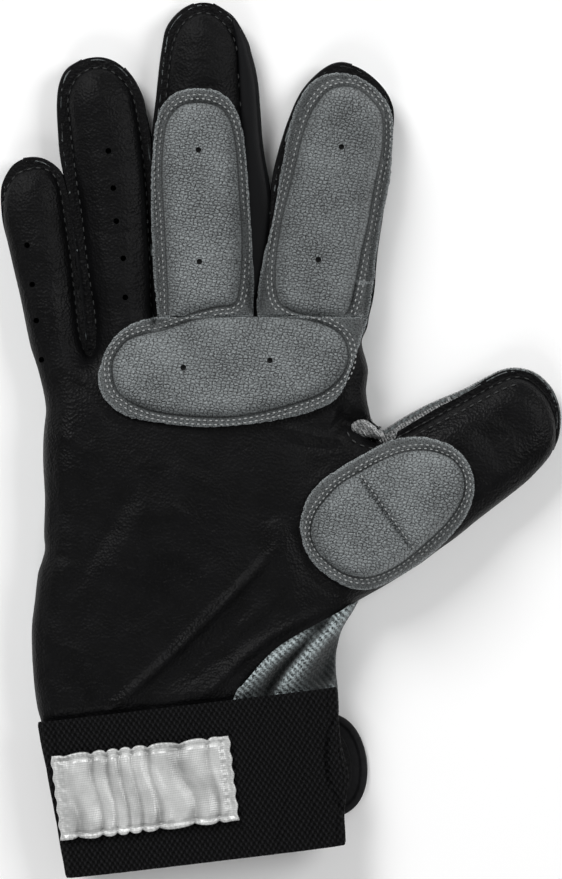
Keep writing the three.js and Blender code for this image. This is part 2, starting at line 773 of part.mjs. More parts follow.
let fingerStart = 0;
fingerNames.forEach((name) => {
  const size = fingerSizes[name];
  const finger = fingerGroup(name, size, fingerRise, gussets[name], padShapes[name]);
  finger.position.set(fingerStart + size.width / 2, size.hingeY, 0);
  fingerStart += size.width;
  glove.add(finger);
});

// The web closes the thumb crotch, in the thumb's own frame
function webSolid() {
  const outline = webShares.map(inThumbSizes).map((point) => new THREE.Vector2(...point));
  return prism(outline, seamLow, seamTop + gussetHeight / 2);
}

const thumb = fingerGroup('thumb', thumbSize, thumbRise, ['left'], padShapes.thumb);
thumb.position.set(thumbRootX, thumbRootY, 0);
thumb.rotation.z = THREE.MathUtils.degToRad(thumbTurn);
thumb.add(piece('thumb_web', webSolid(), 'knit'));
glove.add(thumb);

const cuff = new THREE.Group();
cuff.add(...cuffPieces());
cuff.add(piece('strap_root', strapRoot(), 'elastic'));
cuff.add(piece('loop_patch', loopPatch(), 'fastener'));
cuff.add(...strapPieces());
cuff.position.set(cuffCenterX, cuffCenterY, 0);
cuff.rotation.z = THREE.MathUtils.degToRad(cuffTurn);
glove.add(cuff);

// The origin goes to the middle of the underside
glove.updateMatrixWorld(true);
const extent = new THREE.Box3().setFromObject(glove, true);
glove.position.set(-(extent.min.x + extent.max.x) / 2, -(extent.min.y + extent.max.y) / 2, -extent.min.z);

export default glove;
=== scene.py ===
"""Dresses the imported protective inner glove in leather, knit, pads and stitching, palm up on a pale table."""

import functools
import math

import bpy
import numpy as np
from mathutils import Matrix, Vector, geometry, kdtree


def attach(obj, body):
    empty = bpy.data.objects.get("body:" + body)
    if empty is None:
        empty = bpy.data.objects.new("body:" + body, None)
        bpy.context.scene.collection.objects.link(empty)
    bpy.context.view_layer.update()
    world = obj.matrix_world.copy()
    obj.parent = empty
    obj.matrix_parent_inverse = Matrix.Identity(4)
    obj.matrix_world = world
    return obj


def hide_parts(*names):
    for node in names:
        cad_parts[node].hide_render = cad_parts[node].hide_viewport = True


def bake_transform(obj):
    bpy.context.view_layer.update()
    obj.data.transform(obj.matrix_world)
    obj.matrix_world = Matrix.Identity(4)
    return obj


bl_info = {
    "name": "Protective inner glove",
    "version": (1, 0, 0),
    "blender": (4, 5, 0),
    "location": "3D View > Sidebar > Glove",
    "description": "Models a padded inner glove with jointed fingers, palm up",
    "category": "Add Mesh",
}

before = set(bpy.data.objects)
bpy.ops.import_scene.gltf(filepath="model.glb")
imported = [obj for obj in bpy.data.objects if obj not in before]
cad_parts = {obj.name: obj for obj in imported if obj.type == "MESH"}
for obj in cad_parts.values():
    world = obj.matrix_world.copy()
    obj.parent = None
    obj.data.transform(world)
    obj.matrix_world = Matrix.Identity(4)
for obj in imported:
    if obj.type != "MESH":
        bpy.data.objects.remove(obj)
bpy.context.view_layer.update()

# The outlines below are drawn right and down in steps of this many metres, from the top left of the view
DRAWN_STEP = 0.00027
DRAWN_LEFT = -0.07534
DRAWN_TOP = 0.118683
DRAWN_WIDTH, DRAWN_HEIGHT = 562, 879

# Height of the side seams over the table, thickness of the leather and the pad covers, and a vent hole's radius
SEAM_HEIGHT = 0.0065
LEATHER = 0.0009
COVER = 0.0009
VENT = 0.0008

# The cuff: where it lies and how far it is turned, its size, its section's roundness and its wall
CUFF_CENTRE = Vector((-0.02215, -0.092417, 0.0102))
CUFF_DEGREES = 6.8
CUFF_TURN = math.radians(CUFF_DEGREES)
CUFF_WIDTH, CUFF_NARROWING, CUFF_HEIGHT = 0.081, 0.0054, 0.0425
CUFF_RISE, CUFF_WALL, CUFF_POWER = 0.006, 0.0016, 3.2

# How far down the fingers' hinges lie in the drawing; the middle and index fingers share one
LITTLE_HINGE = 348.1
RING_HINGE = 330.0
LONG_HINGE = 316.7

# Front leather of each finger, from the hinge up round the tip and down to the hinge; a brim is its back's edge
LITTLE_EDGE = [
    (31, LITTLE_HINGE), (27, 330), (21, 300), (14, 270), (8, 244), (3, 224), (1, 206), (1, 190), (4, 179),
    (12, 166), (23, 159), (34, 158), (44, 160), (54, 166), (61, 174), (65, 184), (70, 205), (74, 230),
    (78, 256), (81, 283), (84, 310), (86, 330), (87, LITTLE_HINGE),
]
RING_EDGE = [
    (86, RING_HINGE), (84, 310), (81, 283), (78, 256), (74, 230), (70, 205), (66, 182), (61, 155), (59, 130),
    (58, 105), (60, 85), (67, 70), (82, 60), (98, 57), (112, 60), (124, 68), (134, 81), (142, 98),
    (145, 113), (149, 130), (151, 145), (151, 170), (150, 200), (151, 240), (152, 280), (153, RING_HINGE),
]
MIDDLE_EDGE = [
    (153, LONG_HINGE), (152, 280), (151, 240), (150, 200), (151, 166), (153, 140), (154, 124), (157, 100),
    (159, 80), (161, 62), (164, 42), (167, 29), (174, 18), (184, 9), (194, 4), (203, 2.5), (213, 4),
    (223, 10), (234, 19), (241, 31), (244, 48), (245, 70), (246, 95), (247, 120), (249, 155), (251, 195),
    (252, 240), (255, 285), (254, LONG_HINGE),
]
MIDDLE_BRIM = MIDDLE_EDGE[:19] + [
    (246, 40), (250, 53), (254, 68), (257, 85), (259, 110), (261, 138), (264, 160), (268, 182), (270, 207),
    (267, 240), (261, 275), (256, 300), (254, LONG_HINGE),
]
INDEX_EDGE = [
    (254, LONG_HINGE), (256, 300), (260, 280), (265, 255), (269, 232), (270, 207), (272, 190), (275, 170),
    (280, 150), (286, 130), (290, 119), (296, 104), (303, 91), (312, 80), (322, 71), (332, 65), (342, 63),
    (352, 65), (363, 70), (375, 79), (385, 90), (391, 101), (394, 114), (393, 135), (391, 165), (388, 190),
    (384, 210), (381, 230), (378, 250), (376, 270), (375, 285), (373, 300), (369, LONG_HINGE),
]

# The thumb: the line of its hinge, its front leather, the brim of its back and the web in its crotch
THUMB_CORNER, THUMB_END = (331.2, 438.2), (421.3, 563.1)
CROTCH = (371, 419)
THUMB_EDGE = [
    CROTCH, (373, 429), (379, 435), (387, 437), (400, 430), (421, 417.5), (442, 405.5), (464, 394),
    (484, 380.2), (503, 371), (519, 370.1), (534, 374.9), (546.6, 386), (554.6, 397.5), (558.8, 411), (559.5, 424),
    (558, 437), (553, 450), (546, 461), (537, 471), (527, 481), (515, 491), (502, 501), (489, 511),
    (476, 521), (464, 531), (451, 541), (437, 551), THUMB_END,
]
THUMB_BRIM = [
    CROTCH, (375, 428), (383, 431), (400, 420.6), (419, 409.8), (440, 400), (464, 390), (485, 378.8),
    (503, 370.3), (519, 368.7), (535.5, 373.6), (548.4, 384.9), (555.6, 397.2), (559.4, 411), (559.8, 424),
] + THUMB_EDGE[16:]
THUMB_WEB = [
    (349, 430), (350, 424), (354, 420), (360, 418), (367, 420), (374, 425), (380, 431), (385, 437),
    (378, 439), (368, 439), (358, 437),
]

# The edges of the hand below the fingers, and the seam between the palm and the side knit
RIGHT_SIDE = [
    (369, LONG_HINGE), (367, 328), (362, 340), (363, 350), (366, 360), (368, 370), (367, 381), (366, 390),
    (367, 400), (369, 410), CROTCH,
]
WRIST_RIGHT = [THUMB_END, (410, 570), (394, 580), (377, 590), (359, 600)]
KNIT_RIGHT = [
    (359, 600), (353, 611), (346, 622), (341, 632), (338, 643), (336, 655), (336, 672), (338, 690), (339, 712),
]
KNIT_LINE = [(228, 726), (234, 697), (253, 671), (274, 649), (298, 633), (322, 620), (359, 600)]
LEFT_SIDE = [
    (47, 747), (42, 722), (37, 705), (34, 682), (32, 650), (32, 625), (35, 600), (38, 574), (42, 561),
    (45, 549), (44, 533), (45, 500), (44, 480), (43, 455), (44, 430), (46, 412), (45, 400), (42, 385),
    (37, 366), (31, LITTLE_HINGE),
]

# The line inside which the sewn front swells, from the left wrist up round the fingers and the thumb
SEWN_LINE = [(52, 790), (44, 750)] + LEFT_SIDE[2:19] + [
    (31, 348), (27, 330), (21, 300), (14, 270), (8, 244), (4, 224), (3, 208), (5, 194),
    (10, 183), (18, 174), (27, 170), (37, 168), (47, 170), (55, 177), (60, 190), (63, 208), (66, 230),
    (70, 256), (73, 283), (76, 310), (79, 335), (84, 352), (89, 357), (95, 350), (97, 335), (94, 305),
    (90, 280), (86, 250), (82, 215), (77, 183), (73, 152), (70, 124), (68, 104), (71, 89), (78, 77),
    (88, 70), (98, 68), (109, 70), (120, 78), (129, 89), (134, 101), (139, 128), (143, 158), (146, 190),
    (148, 230), (150, 270), (151, 305), (155, 325), (161, 316), (161, 280), (160, 240), (159, 200),
    (160, 165), (162, 140), (165, 110), (168, 82), (171, 56), (176, 36), (185, 22), (195, 15), (204, 13),
    (214, 16), (225, 25), (233, 37), (237, 52), (238, 72), (240, 100), (242, 130), (243, 160), (244, 195),
    (245, 240), (247, 280), (250, 305), (256, 316), (262, 300), (267, 278), (272, 252), (277, 228),
    (281, 200), (286, 175), (291, 152), (297, 131), (304, 111), (313, 95), (325, 84), (338, 80), (352, 81),
    (365, 88), (376, 98), (384, 112), (385, 132), (383, 160), (380, 188), (375, 215), (370, 243),
    (367, 268), (365, 295), (363, 320),
] + RIGHT_SIDE[2:10] + [
    (371, 422), (374, 437), (388, 443), (404, 435), (424, 424),
    (445, 412), (466, 401), (486, 390), (504, 380), (518, 378), (530, 382), (541, 391), (549, 402),
    (554, 415), (556, 426), (556, 437),
] + THUMB_EDGE[17:28] + [(421, 563)] + WRIST_RIGHT[1:] + KNIT_RIGHT[1:8] + [(341, 730), (344, 760)]

# How far the front stands over its seams, in millimetres at drawn places
FULLNESS = [
    (33, 205, 5.6), (42, 280, 6.2), (104, 105, 5.6), (112, 200, 6.4), (122, 290, 6.6), (203, 50, 5.8),
    (200, 150, 6.6), (205, 260, 6.8), (342, 110, 6.0), (325, 200, 6.6), (318, 280, 6.8), (62, 345, 6.6),
    (120, 345, 7.0), (205, 345, 7.8), (310, 345, 7.8), (90, 430, 9.2), (220, 420, 9.6), (330, 400, 8.4),
    (180, 500, 10.4), (300, 510, 10.4), (80, 540, 9.4), (240, 600, 10.6), (120, 640, 9.6), (380, 510, 9.4),
    (450, 470, 8.6), (525, 425, 6.6), (310, 640, 8.6), (200, 690, 9.4), (70, 700, 8.0), (310, 700, 8.6),
]

# Folds of the leather: height and half width in millimetres, then the drawn line of the crest
FOLDS = [
    (1.5, 1.3, [(104, 716), (118, 702), (146, 678), (176, 650), (202, 624), (228, 598), (254, 572), (278, 544)]),
    (-1.1, 2.6, [(126, 726), (162, 690), (194, 660), (220, 634), (246, 606), (270, 578)]),
    (1.0, 1.3, [(186, 704), (212, 688), (236, 664), (262, 642), (296, 622), (330, 606)]),
    (-0.7, 2.0, [(160, 704), (196, 676), (228, 650), (262, 622), (292, 598)]),
    (-0.9, 2.4, [(134, 486), (120, 510), (105, 537), (84, 570), (70, 600)]),
    (0.7, 3.0, [(150, 496), (138, 518), (126, 544), (110, 576)]),
    (0.35, 0.8, [(174, 502), (180, 510), (187, 517)]),
    (1.2, 3.6, [(272, 520), (284, 556), (292, 596), (290, 632)]),
    (-0.6, 1.6, [(304, 560), (322, 584), (344, 592)]),
    (-0.3, 1.3, [(44, 548), (60, 556), (82, 560)]),
    (0.3, 1.4, [(50, 430), (64, 436), (80, 446), (92, 460)]),
    (-0.35, 1.0, [(60, 372), (76, 384), (94, 398), (118, 428)]),
    (0.2, 2.4, [(150, 450), (180, 470), (214, 482), (250, 484)]),
    (-0.2, 2.6, [(140, 470), (176, 496), (222, 508), (276, 504)]),
    (0.35, 1.4, [(52, 640), (76, 650), (104, 668)]),
    (-0.3, 1.5, [(42, 672), (66, 680), (92, 700)]),
    (0.6, 1.1, [(276, 424), (306, 434), (334, 438), (352, 430)]),
    (-0.6, 1.2, [(284, 444), (304, 446), (326, 448), (340, 446)]),
    (0.6, 1.2, [(338, 384), (350, 402), (352, 420)]),
    (-0.4, 1.5, [(474, 430), (492, 446), (500, 470)]),
    (0.35, 1.4, [(484, 420), (506, 432), (516, 456)]),
    (-0.15, 0.9, [(182, 60), (204, 66), (226, 60)]),
    (-0.12, 0.9, [(86, 150), (106, 154), (130, 148)]),
    (-0.12, 0.9, [(92, 230), (114, 236), (138, 230)]),
    (-0.12, 0.9, [(18, 236), (38, 242), (58, 236)]),
]

# The dark lines where two fingers meet, and the hollow in the thumb's crotch
CREASES = [
    (-0.75, 0.5, [(70, 200), (71.5, 221), (76, 250), (80, 276), (84, 314), (87, 336), (92, 356), (96, 368)]),
    (-4.6, 3.0, [(334, 417), (346, 422), (356, 427), (367, 431), (380, 436), (396, 442)]),
    (-0.75, 0.5, [(152, 200), (152, 250), (153, 290), (154, 318), (153, 330)]),
]

# Ribs of the side knit where it gathers into the cuff
KNIT_FOLDS = [
    (3.4, 1.9, [(226, 714), (240, 688), (256, 672), (270, 660), (284, 649), (300, 638), (318, 628)]),
    (-3.4, 1.6, [(252, 722), (266, 693), (280, 670), (294, 655), (307, 641), (320, 628), (334, 616)]),
    (3.6, 2.3, [(270, 716), (283, 688), (294, 668), (306, 653), (322, 637), (337, 620), (351, 606), (364, 594)]),
    (-3.4, 2.6, [(312, 704), (320, 680), (326, 664), (332, 650), (338, 634)]),
    (1.6, 1.7, [(296, 700), (312, 690), (330, 687), (342, 690)]),
]

# Where the index pad's flange steps down, and each pad: its flange, the foot of its raised middle and its vents
INDEX_LEDGE = (354, 283)
PADS = {
    "middle": {
        "flange": [
            (158, LONG_HINGE), (154, 280), (152, 240), (151, 199), (152, 166), (155, 130), (161, 108), (172, 96),
            (186, 91), (200, 90), (216, 92), (230, 101), (239, 117), (245, 145), (249, 191), (252, 240),
            (254, 280), (253, LONG_HINGE),
        ],
        "raised": [
            (173, 318), (170, 290), (168, 250), (166, 215), (164, 179), (165, 148), (169, 124), (180, 110),
            (194, 106), (209, 107), (222, 113), (230, 126), (234, 146), (236, 166), (238, 200), (240, 230),
            (240, 262), (238, 288), (233, 303), (216, 306), (196, 311),
        ],
        "vents": [(199, 152), (200, 263)],
    },
    "index": {
        "flange": [
            (258, LONG_HINGE), (257, 300), (263, 260), (272, 224), (277, 195), (281, 172), (289, 129), (297, 104),
            (308, 86), (322, 76), (337, 73), (356, 76), (373, 86), (386, 101), (393, 120), (392, 150),
            (391, 172), (387, 195), (383, 215), (379, 238), (376, 258), (374, 280), (371, 300),
            (368, LONG_HINGE),
        ],
        "raised": [
            (284, 305), (278, 292), (277, 272), (279, 249), (283, 224), (287, 206), (293, 183), (299, 158),
            (305, 134), (314, 112), (328, 94), (344, 89), (358, 92), (370, 102), (379, 114), (381, 129),
            (380, 150), (375, 174), (370, 200), (366, 224), (360, 250), (355, 276), (350, 300), (342, 315),
            (322, 315), (302, 313),
        ],
        "vents": [(341, 149), (318, 261)],
    },
    "palm": {
        "flange": [
            (156, LONG_HINGE + 0.3), (134, 324), (115, 338), (104, 357), (99, 378), (103, 395), (114, 408), (133, 418),
            (170, 424), (205, 427), (242, 425), (277, 420), (313, 411), (338, 397), (351, 369), (359, 345),
            (366, 326), (368, LONG_HINGE + 0.3),
        ],
        "raised": [
            (115, 372), (117, 358), (128, 343), (146, 336), (166, 332), (197, 322), (233, 319), (269, 319),
            (304, 322), (330, 330), (343, 342), (346, 359), (339, 376), (322, 391), (297, 401), (268, 409),
            (233, 415), (197, 415), (161, 411), (136, 403), (120, 390),
        ],
        "vents": [(184, 368), (270, 361)],
    },
    "thumb": {
        "flange": [
            (300, 530), (302, 512), (309, 495), (322, 480), (342, 466), (363, 454), (384, 443), (406, 437),
            (429, 438), (451, 446), (466, 461), (473, 481), (471, 501), (462, 521), (444, 542), (420, 563),
            (396, 578), (373, 588), (352, 588), (333, 579), (316, 566), (305, 549),
        ],
        "raised": [
            (312, 530), (317, 512), (330, 495), (342, 484), (357, 475), (379, 463), (402, 454), (425, 452),
            (446, 458), (459, 471), (462, 488), (456, 505), (443, 523), (419, 546), (394, 565), (368, 575),
            (346, 572), (327, 559), (316, 545),
        ],
        "vents": [],
    },
}

# Vent holes through the leather alone
LEATHER_VENTS = {
    "little": [(28, 246), (33, 285), (37, 321)],
    "ring": [(109, 152), (114, 189), (117, 222), (124, 259), (126, 298)],
    "palm": [(42, 360)],
}


def place(points):
    """Turns drawn points into places on the table, in metres."""
    drawn = np.array(points, float).reshape(-1, 2)
    return np.stack([DRAWN_LEFT + drawn[:, 0] * DRAWN_STEP, DRAWN_TOP - drawn[:, 1] * DRAWN_STEP], axis=1)


def curve(points, closed=False, spacing=0.0008):
    """A smooth line through drawn points."""
    known = place(points)
    if closed:
        known = np.concatenate([known[-1:], known, known[:2]])
    else:
        known = np.concatenate([2 * known[:1] - known[1:2], known, 2 * known[-1:] - known[-2:-1]])
    line = []
    for before, start, end, after in zip(known, known[1:], known[2:], known[3:]):
        steps = max(1, math.ceil(np.linalg.norm(end - start) / spacing))
        for share in np.arange(steps) / steps:
            line.append(0.5 * (
                2 * start + (end - before) * share
                + (2 * before - 5 * start + 4 * end - after) * share ** 2
                + (3 * start - before - 3 * end + after) * share ** 3
            ))
    if not closed:
        line.append(known[-2])
    return np.array(line)


def straight(*corners, spacing=0.0008):
    """The places on the straight lines through drawn corners, without the last one."""
    known = place(corners)
    lines = []
    for a, b in zip(known, known[1:]):
        steps = max(1, math.ceil(np.linalg.norm(b - a) / spacing))
        lines.append(a + (b - a) * (np.arange(steps) / steps)[:, None])
    return np.concatenate(lines)


def unit(vectors):
    """The same directions with a length of 1."""
    return vectors / np.maximum(np.linalg.norm(vectors, axis=1), 1e-9)[:, None]


def to_left(vectors):
    """Directions on the table turned a quarter to the left."""
    return np.stack([-vectors[:, 1], vectors[:, 0]], axis=1)


def inward_of(outline, reach=1):
    """At each point of a closed outline, the direction into it; the slope is taken from points so many steps away."""
    ahead = unit(np.roll(outline, -reach, axis=0) - np.roll(outline, reach, axis=0))
    turn = np.sum(outline[:, 0] * np.roll(outline[:, 1], -1) - np.roll(outline[:, 0], -1) * outline[:, 1])
    return to_left(ahead) * np.sign(turn)


def pad_outline(name):
    """A pad's flange, cut by hand; those that end at a hinge line are closed straight along it."""
    flange = PADS[name]["flange"]
    edge = curve(flange, closed=name == "thumb")
    uneven = np.random.default_rng(21).normal(0, 0.00008, edge.shape)
    if name == "thumb":
        return edge + uneven
    uneven[[0, -1]] = 0
    return np.concatenate([(edge + uneven)[:-1], straight(flange[-1], flange[0])])


def beside(line, shifts):
    """Copies of a closed line moved to its left by each shift, as loose points."""
    left = to_left(unit(np.roll(line, -1, axis=0) - np.roll(line, 1, axis=0)))
    return np.concatenate([line + left * shift for shift in shifts])


def inside(points, outline):
    """Tells which places lie inside a closed outline."""
    held = np.zeros(len(points), bool)
    x, y = points[:, 0], points[:, 1]
    for (x0, y0), (x1, y1) in zip(outline, np.roll(outline, -1, axis=0)):
        if y0 != y1:
            held ^= ((y0 > y) != (y1 > y)) & (x < (x1 - x0) * (y - y0) / (y1 - y0) + x0)
    return held


def search(points):
    """A search tree over places on the table."""
    tree = kdtree.KDTree(len(points))
    for k, (x, y) in enumerate(points):
        tree.insert((x, y, 0), k)
    tree.balance()
    return tree


def tree_of(line):
    """A search tree over a line's points, with points put in so that none are far apart."""
    gaps = np.linalg.norm(np.diff(line, axis=0), axis=1)
    dense = [line[-1:]]
    for start, end, gap in zip(line[:-1], line[1:], gaps):
        steps = max(1, math.ceil(gap / 0.0002))
        if gap < 0.02:
            dense.append(start + (end - start) * (np.arange(steps) / steps)[:, None])
    return search(np.concatenate(dense))


def distance(points, tree):
    """How far each place lies from a line."""
    return np.array([tree.find((x, y, 0))[2] for x, y in points])


def eased(value, low, high):
    """Runs smoothly from 0 at low to 1 at high."""
    share = np.clip((value - low) / (high - low), 0, 1)
    return share * share * (3 - 2 * share)


def rounded(gap, reach):
    """The profile of a rounded edge: 0 at the edge, and level from its reach on."""
    share = np.clip(gap / reach, 0, 1)
    return np.sqrt(1 - (1 - share) ** 2)


class Field:
    """A value over the table, kept on a square grid and read between its points."""

    step = 0.0005
    left, low = -0.082, -0.124
    columns, rows = 330, 500

    def __init__(self, values):
        self.values = values

    @classmethod
    def points(cls):
        x = cls.left + cls.step * np.arange(cls.columns)
        y = cls.low + cls.step * np.arange(cls.rows)
        across, along = np.meshgrid(x, y)
        return np.stack([across.ravel(), along.ravel()], axis=1)

    @classmethod
    def gap(cls, outline):
        """The distance to a closed outline, below zero outside it."""
        points = cls.points()
        closed = np.concatenate([outline, outline[:1]])
        gap = distance(points, tree_of(closed)).reshape(cls.rows, cls.columns)
        held = np.zeros((cls.rows, cls.columns), bool)
        start, end = outline, np.roll(outline, -1, axis=0)
        for row in range(cls.rows):
            y = cls.low + cls.step * row + 1e-7
            crossing = (start[:, 1] > y) != (end[:, 1] > y)
            a, b = start[crossing], end[crossing]
            places = np.sort(a[:, 0] + (b[:, 0] - a[:, 0]) * (y - a[:, 1]) / (b[:, 1] - a[:, 1]))
            for first, last in zip(places[::2], places[1::2]):
                held[row, math.ceil((first - cls.left) / cls.step):math.floor((last - cls.left) / cls.step) + 1] = True
        return cls(np.where(held, gap, -gap))

    @classmethod
    def ripples(cls, seed, size):
        """Smooth hills and hollows between -1 and 1, about one size apart."""
        random = np.random.default_rng(seed)
        lattice = random.uniform(-1, 1, (int(0.26 / size) + 4, int(0.18 / size) + 4))
        across = np.arange(cls.columns) * cls.step / size
        along = np.arange(cls.rows) * cls.step / size
        i, j = across.astype(int), along.astype(int)
        s, t = eased(across - i, 0, 1), eased(along - j, 0, 1)[:, None]
        corners = [lattice[np.ix_(j + up, i + over)] for up in (0, 1) for over in (0, 1)]
        near = corners[0] * (1 - s) + corners[1] * s
        far = corners[2] * (1 - s) + corners[3] * s
        return near * (1 - t) + far * t

    def soft(self, radius):
        """The same field with its sharp changes evened out."""
        reach = int(3 * radius / self.step)
        weights = np.exp(-0.5 * (np.arange(-reach, reach + 1) * self.step / radius) ** 2)
        weights /= weights.sum()
        values = self.values
        for axis in (0, 1):
            padded = np.pad(values, [(reach, reach) if a == axis else (0, 0) for a in (0, 1)], mode="edge")
            length = values.shape[axis]
            values = sum(w * padded.take(range(k, k + length), axis) for k, w in enumerate(weights))
        return Field(values)

    def at(self, points):
        column = np.clip((points[:, 0] - self.left) / self.step, 0, self.columns - 1.001)
        row = np.clip((points[:, 1] - self.low) / self.step, 0, self.rows - 1.001)
        i, j = column.astype(int), row.astype(int)
        s, t = column - i, row - j
        v = self.values
        return (v[j, i] * (1 - s) + v[j, i + 1] * s) * (1 - t) + (v[j + 1, i] * (1 - s) + v[j + 1, i + 1] * s) * t


def fold_heights(folds):
    """The folds' heights over the grid, in metres; each dies away toward its ends."""
    points = Field.points()
    total = np.zeros(len(points))
    for height, half_width, line in folds:
        path = curve(line, spacing=0.003)
        low, high = path.min(0) - 0.012, path.max(0) + 0.012
        near = np.all((points > low) & (points < high), axis=1)
        held = points[near]
        best = np.full(len(held), 1.0)
        along = np.zeros(len(held))
        for k, (start, end) in enumerate(zip(path[:-1], path[1:])):
            side = end - start
            share = np.clip((held - start) @ side / (side @ side), 0, 1)
            gap = np.linalg.norm(held - start - share[:, None] * side, axis=1)
            closer = gap < best
            best = np.where(closer, gap, best)
            along = np.where(closer, (k + share) / (len(path) - 1), along)
        fade = np.clip(4 * along * (1 - along), 0, 1) ** 0.6
        total[near] += height / 1000 * fade * np.exp(-(best / (half_width / 1000)) ** 2)
    return total.reshape(Field.rows, Field.columns)


class Front:
    """The sewn front of the glove: its height over the table at every place."""

    # How far in from its seams the front rounds up; a pad's groove and the line pressed into its flange, out from
    # the foot of the raised middle; the flange's height, and the step down in the index pad's
    reach = 0.0075
    groove, groove_width = 0.0006, 0.0005
    pressed, pressed_width = 0.0021, 0.0004
    flange, ledge = 0.0009, 0.0007

    def __init__(self):
        """Measures the front: its fullness inside the sewn line, held down under the pads, with folds and wear."""
        self.gap = Field.gap(curve(SEWN_LINE, closed=True))
        points = Field.points()
        known = np.array(FULLNESS)
        weights = np.stack([
            1 / (np.sum((points - spot) ** 2, axis=1) + 0.00002) ** 1.5 for spot in place(known[:, :2])
        ])
        full = (weights * known[:, 2:] / 1000).sum(0) / weights.sum(0)
        self.full = Field(full.reshape(Field.rows, Field.columns))
        self.body = Field(self.full.values * rounded(self.gap.values, self.reach)).soft(0.0016)
        hold = np.ones_like(self.full.values)
        self.pads, self.flanges = {}, {}
        for name, pad in PADS.items():
            flange = self.flanges[name] = Field.gap(pad_outline(name))
            self.pads[name] = Field.gap(curve(pad["raised"], closed=True))
            hold *= 1 - eased(flange.values, -0.0035, -0.0005)
        wear = 0.00042 * Field.ripples(3, 0.013) + 0.00018 * Field.ripples(4, 0.0055)
        wear = wear + 0.00007 * Field.ripples(5, 0.0026)
        inner = eased(self.gap.values, 0.0003, 0.004)
        detail = (fold_heights(FOLDS) + wear) * inner * hold
        detail += 0.0001 * Field.ripples(6, 0.004) * (1 - inner) + fold_heights(CREASES)
        self.detail = Field(detail)
        self.knit = Field(fold_heights(KNIT_FOLDS) * eased(self.gap.values, -0.001, 0.0012))

    def smooth(self, points):
        """The height without folds, exact near the seams and evened out further in."""
        gap = self.gap.at(points)
        edge = self.full.at(points) * rounded(gap, self.reach)
        share = eased(gap, 0.001, 0.0035)
        return SEAM_HEIGHT + edge * (1 - share) + self.body.at(points) * share

    def leather(self, points):
        """The height of the leather panels."""
        return self.tucked(points, self.smooth(points) + self.detail.at(points))

    def side(self, points):
        """The height of the side knit."""
        return self.tucked(points, self.smooth(points) + 0.3 * self.detail.at(points) + self.knit.at(points) - 0.001)

    def tucked(self, points, height):
        """Keeps the front under the cuff's band where it runs into it."""
        c, s = math.cos(CUFF_TURN), math.sin(CUFF_TURN)
        x, y = points[:, 0] - CUFF_CENTRE.x, points[:, 1] - CUFF_CENTRE.y
        across, along = x * c + y * s, y * c - x * s
        under = np.minimum(height, cuff_top(across, CUFF_HEIGHT / 2) - CUFF_WALL - 0.0004)
        share = eased(along, CUFF_HEIGHT / 2 - 0.0004, CUFF_HEIGHT / 2 + 0.0035)
        return height * share + under * (1 - share)

    def pad(self, name, crown, reach):
        """The height of a pad's cover: a flange on the leather, a sewn groove and a crowned middle."""
        raised, flange = self.pads[name], self.flanges[name]
        rough = Field(Field.ripples(8, 0.0019))

        def height(points):
            gap = raised.at(points)
            lift = crown * (0.8 * rounded(gap, reach) + 0.2 * rounded(gap, 3.5 * reach))
            if name == "thumb":
                lift = lift * (1 - 0.66 * np.exp(-(divider_gap(points) / 0.00075) ** 2))
            channel = np.where(gap > -self.groove, 1, np.exp(-((gap + self.groove) / self.groove_width) ** 2))
            band = self.flange * rounded(flange.at(points), 0.0009) + 0.00012 * rough.at(points)
            band = band * (1 - channel) - 0.0002 * np.exp(-((gap + self.pressed) / self.pressed_width) ** 2)
            if name == "index":
                (x, y), = place([INDEX_LEDGE])
                beside_pad = (points[:, 0] > x) * (gap < -0.0009)
                band = band + self.ledge * eased(y - points[:, 1], -0.00015, 0.00015) * beside_pad
            return self.smooth(points) + LEATHER + 0.0001 + lift + band

        return height


def squares(index):
    """The quads between neighbouring points of a grid of point numbers."""
    return np.stack([index[:-1, :-1], index[:-1, 1:], index[1:, 1:], index[1:, :-1]], axis=-1).reshape(-1, 4)


def mesh_of(name, vertices, faces, normals=None):
    """A mesh object from arrays; faces are arrays of triangles or quads, with a normal for each corner if given."""
    mesh = bpy.data.meshes.new(name)
    corners = np.concatenate([part.ravel() for part in faces])
    sizes = np.concatenate([np.full(len(part), part.shape[1]) for part in faces])
    mesh.vertices.add(len(vertices))
    mesh.vertices.foreach_set("co", np.asarray(vertices, np.float32).ravel())
    mesh.loops.add(len(corners))
    mesh.loops.foreach_set("vertex_index", corners.astype(np.int32))
    mesh.polygons.add(len(sizes))
    mesh.polygons.foreach_set("loop_start", np.concatenate([[0], np.cumsum(sizes)[:-1]]).astype(np.int32))
    mesh.polygons.foreach_set("use_smooth", np.ones(len(sizes), bool))
    mesh.update(calc_edges=True)
    mesh.validate()
    if normals is not None:
        mesh.normals_split_custom_set(normals.tolist())
    piece = bpy.data.objects.new(name, mesh)
    bpy.context.scene.collection.objects.link(piece)
    return piece


def shell(name, one, other):
    """A closed piece between two grids of places: the outer one is first where columns run right to left."""
    rows, columns = one.shape[:2]
    count = rows * columns
    index = np.arange(count).reshape(rows, columns)
    rim = np.concatenate([index[0, :], index[1:, -1], index[-1, -2::-1], index[-2:0:-1, 0]])
    wall = np.stack([rim, np.roll(rim, -1), np.roll(rim, -1) + count, rim + count], axis=1)
    faces = [squares(index)[:, ::-1], squares(index) + count, wall]
    return mesh_of(name, np.concatenate([one.reshape(-1, 3), other.reshape(-1, 3)]), faces)


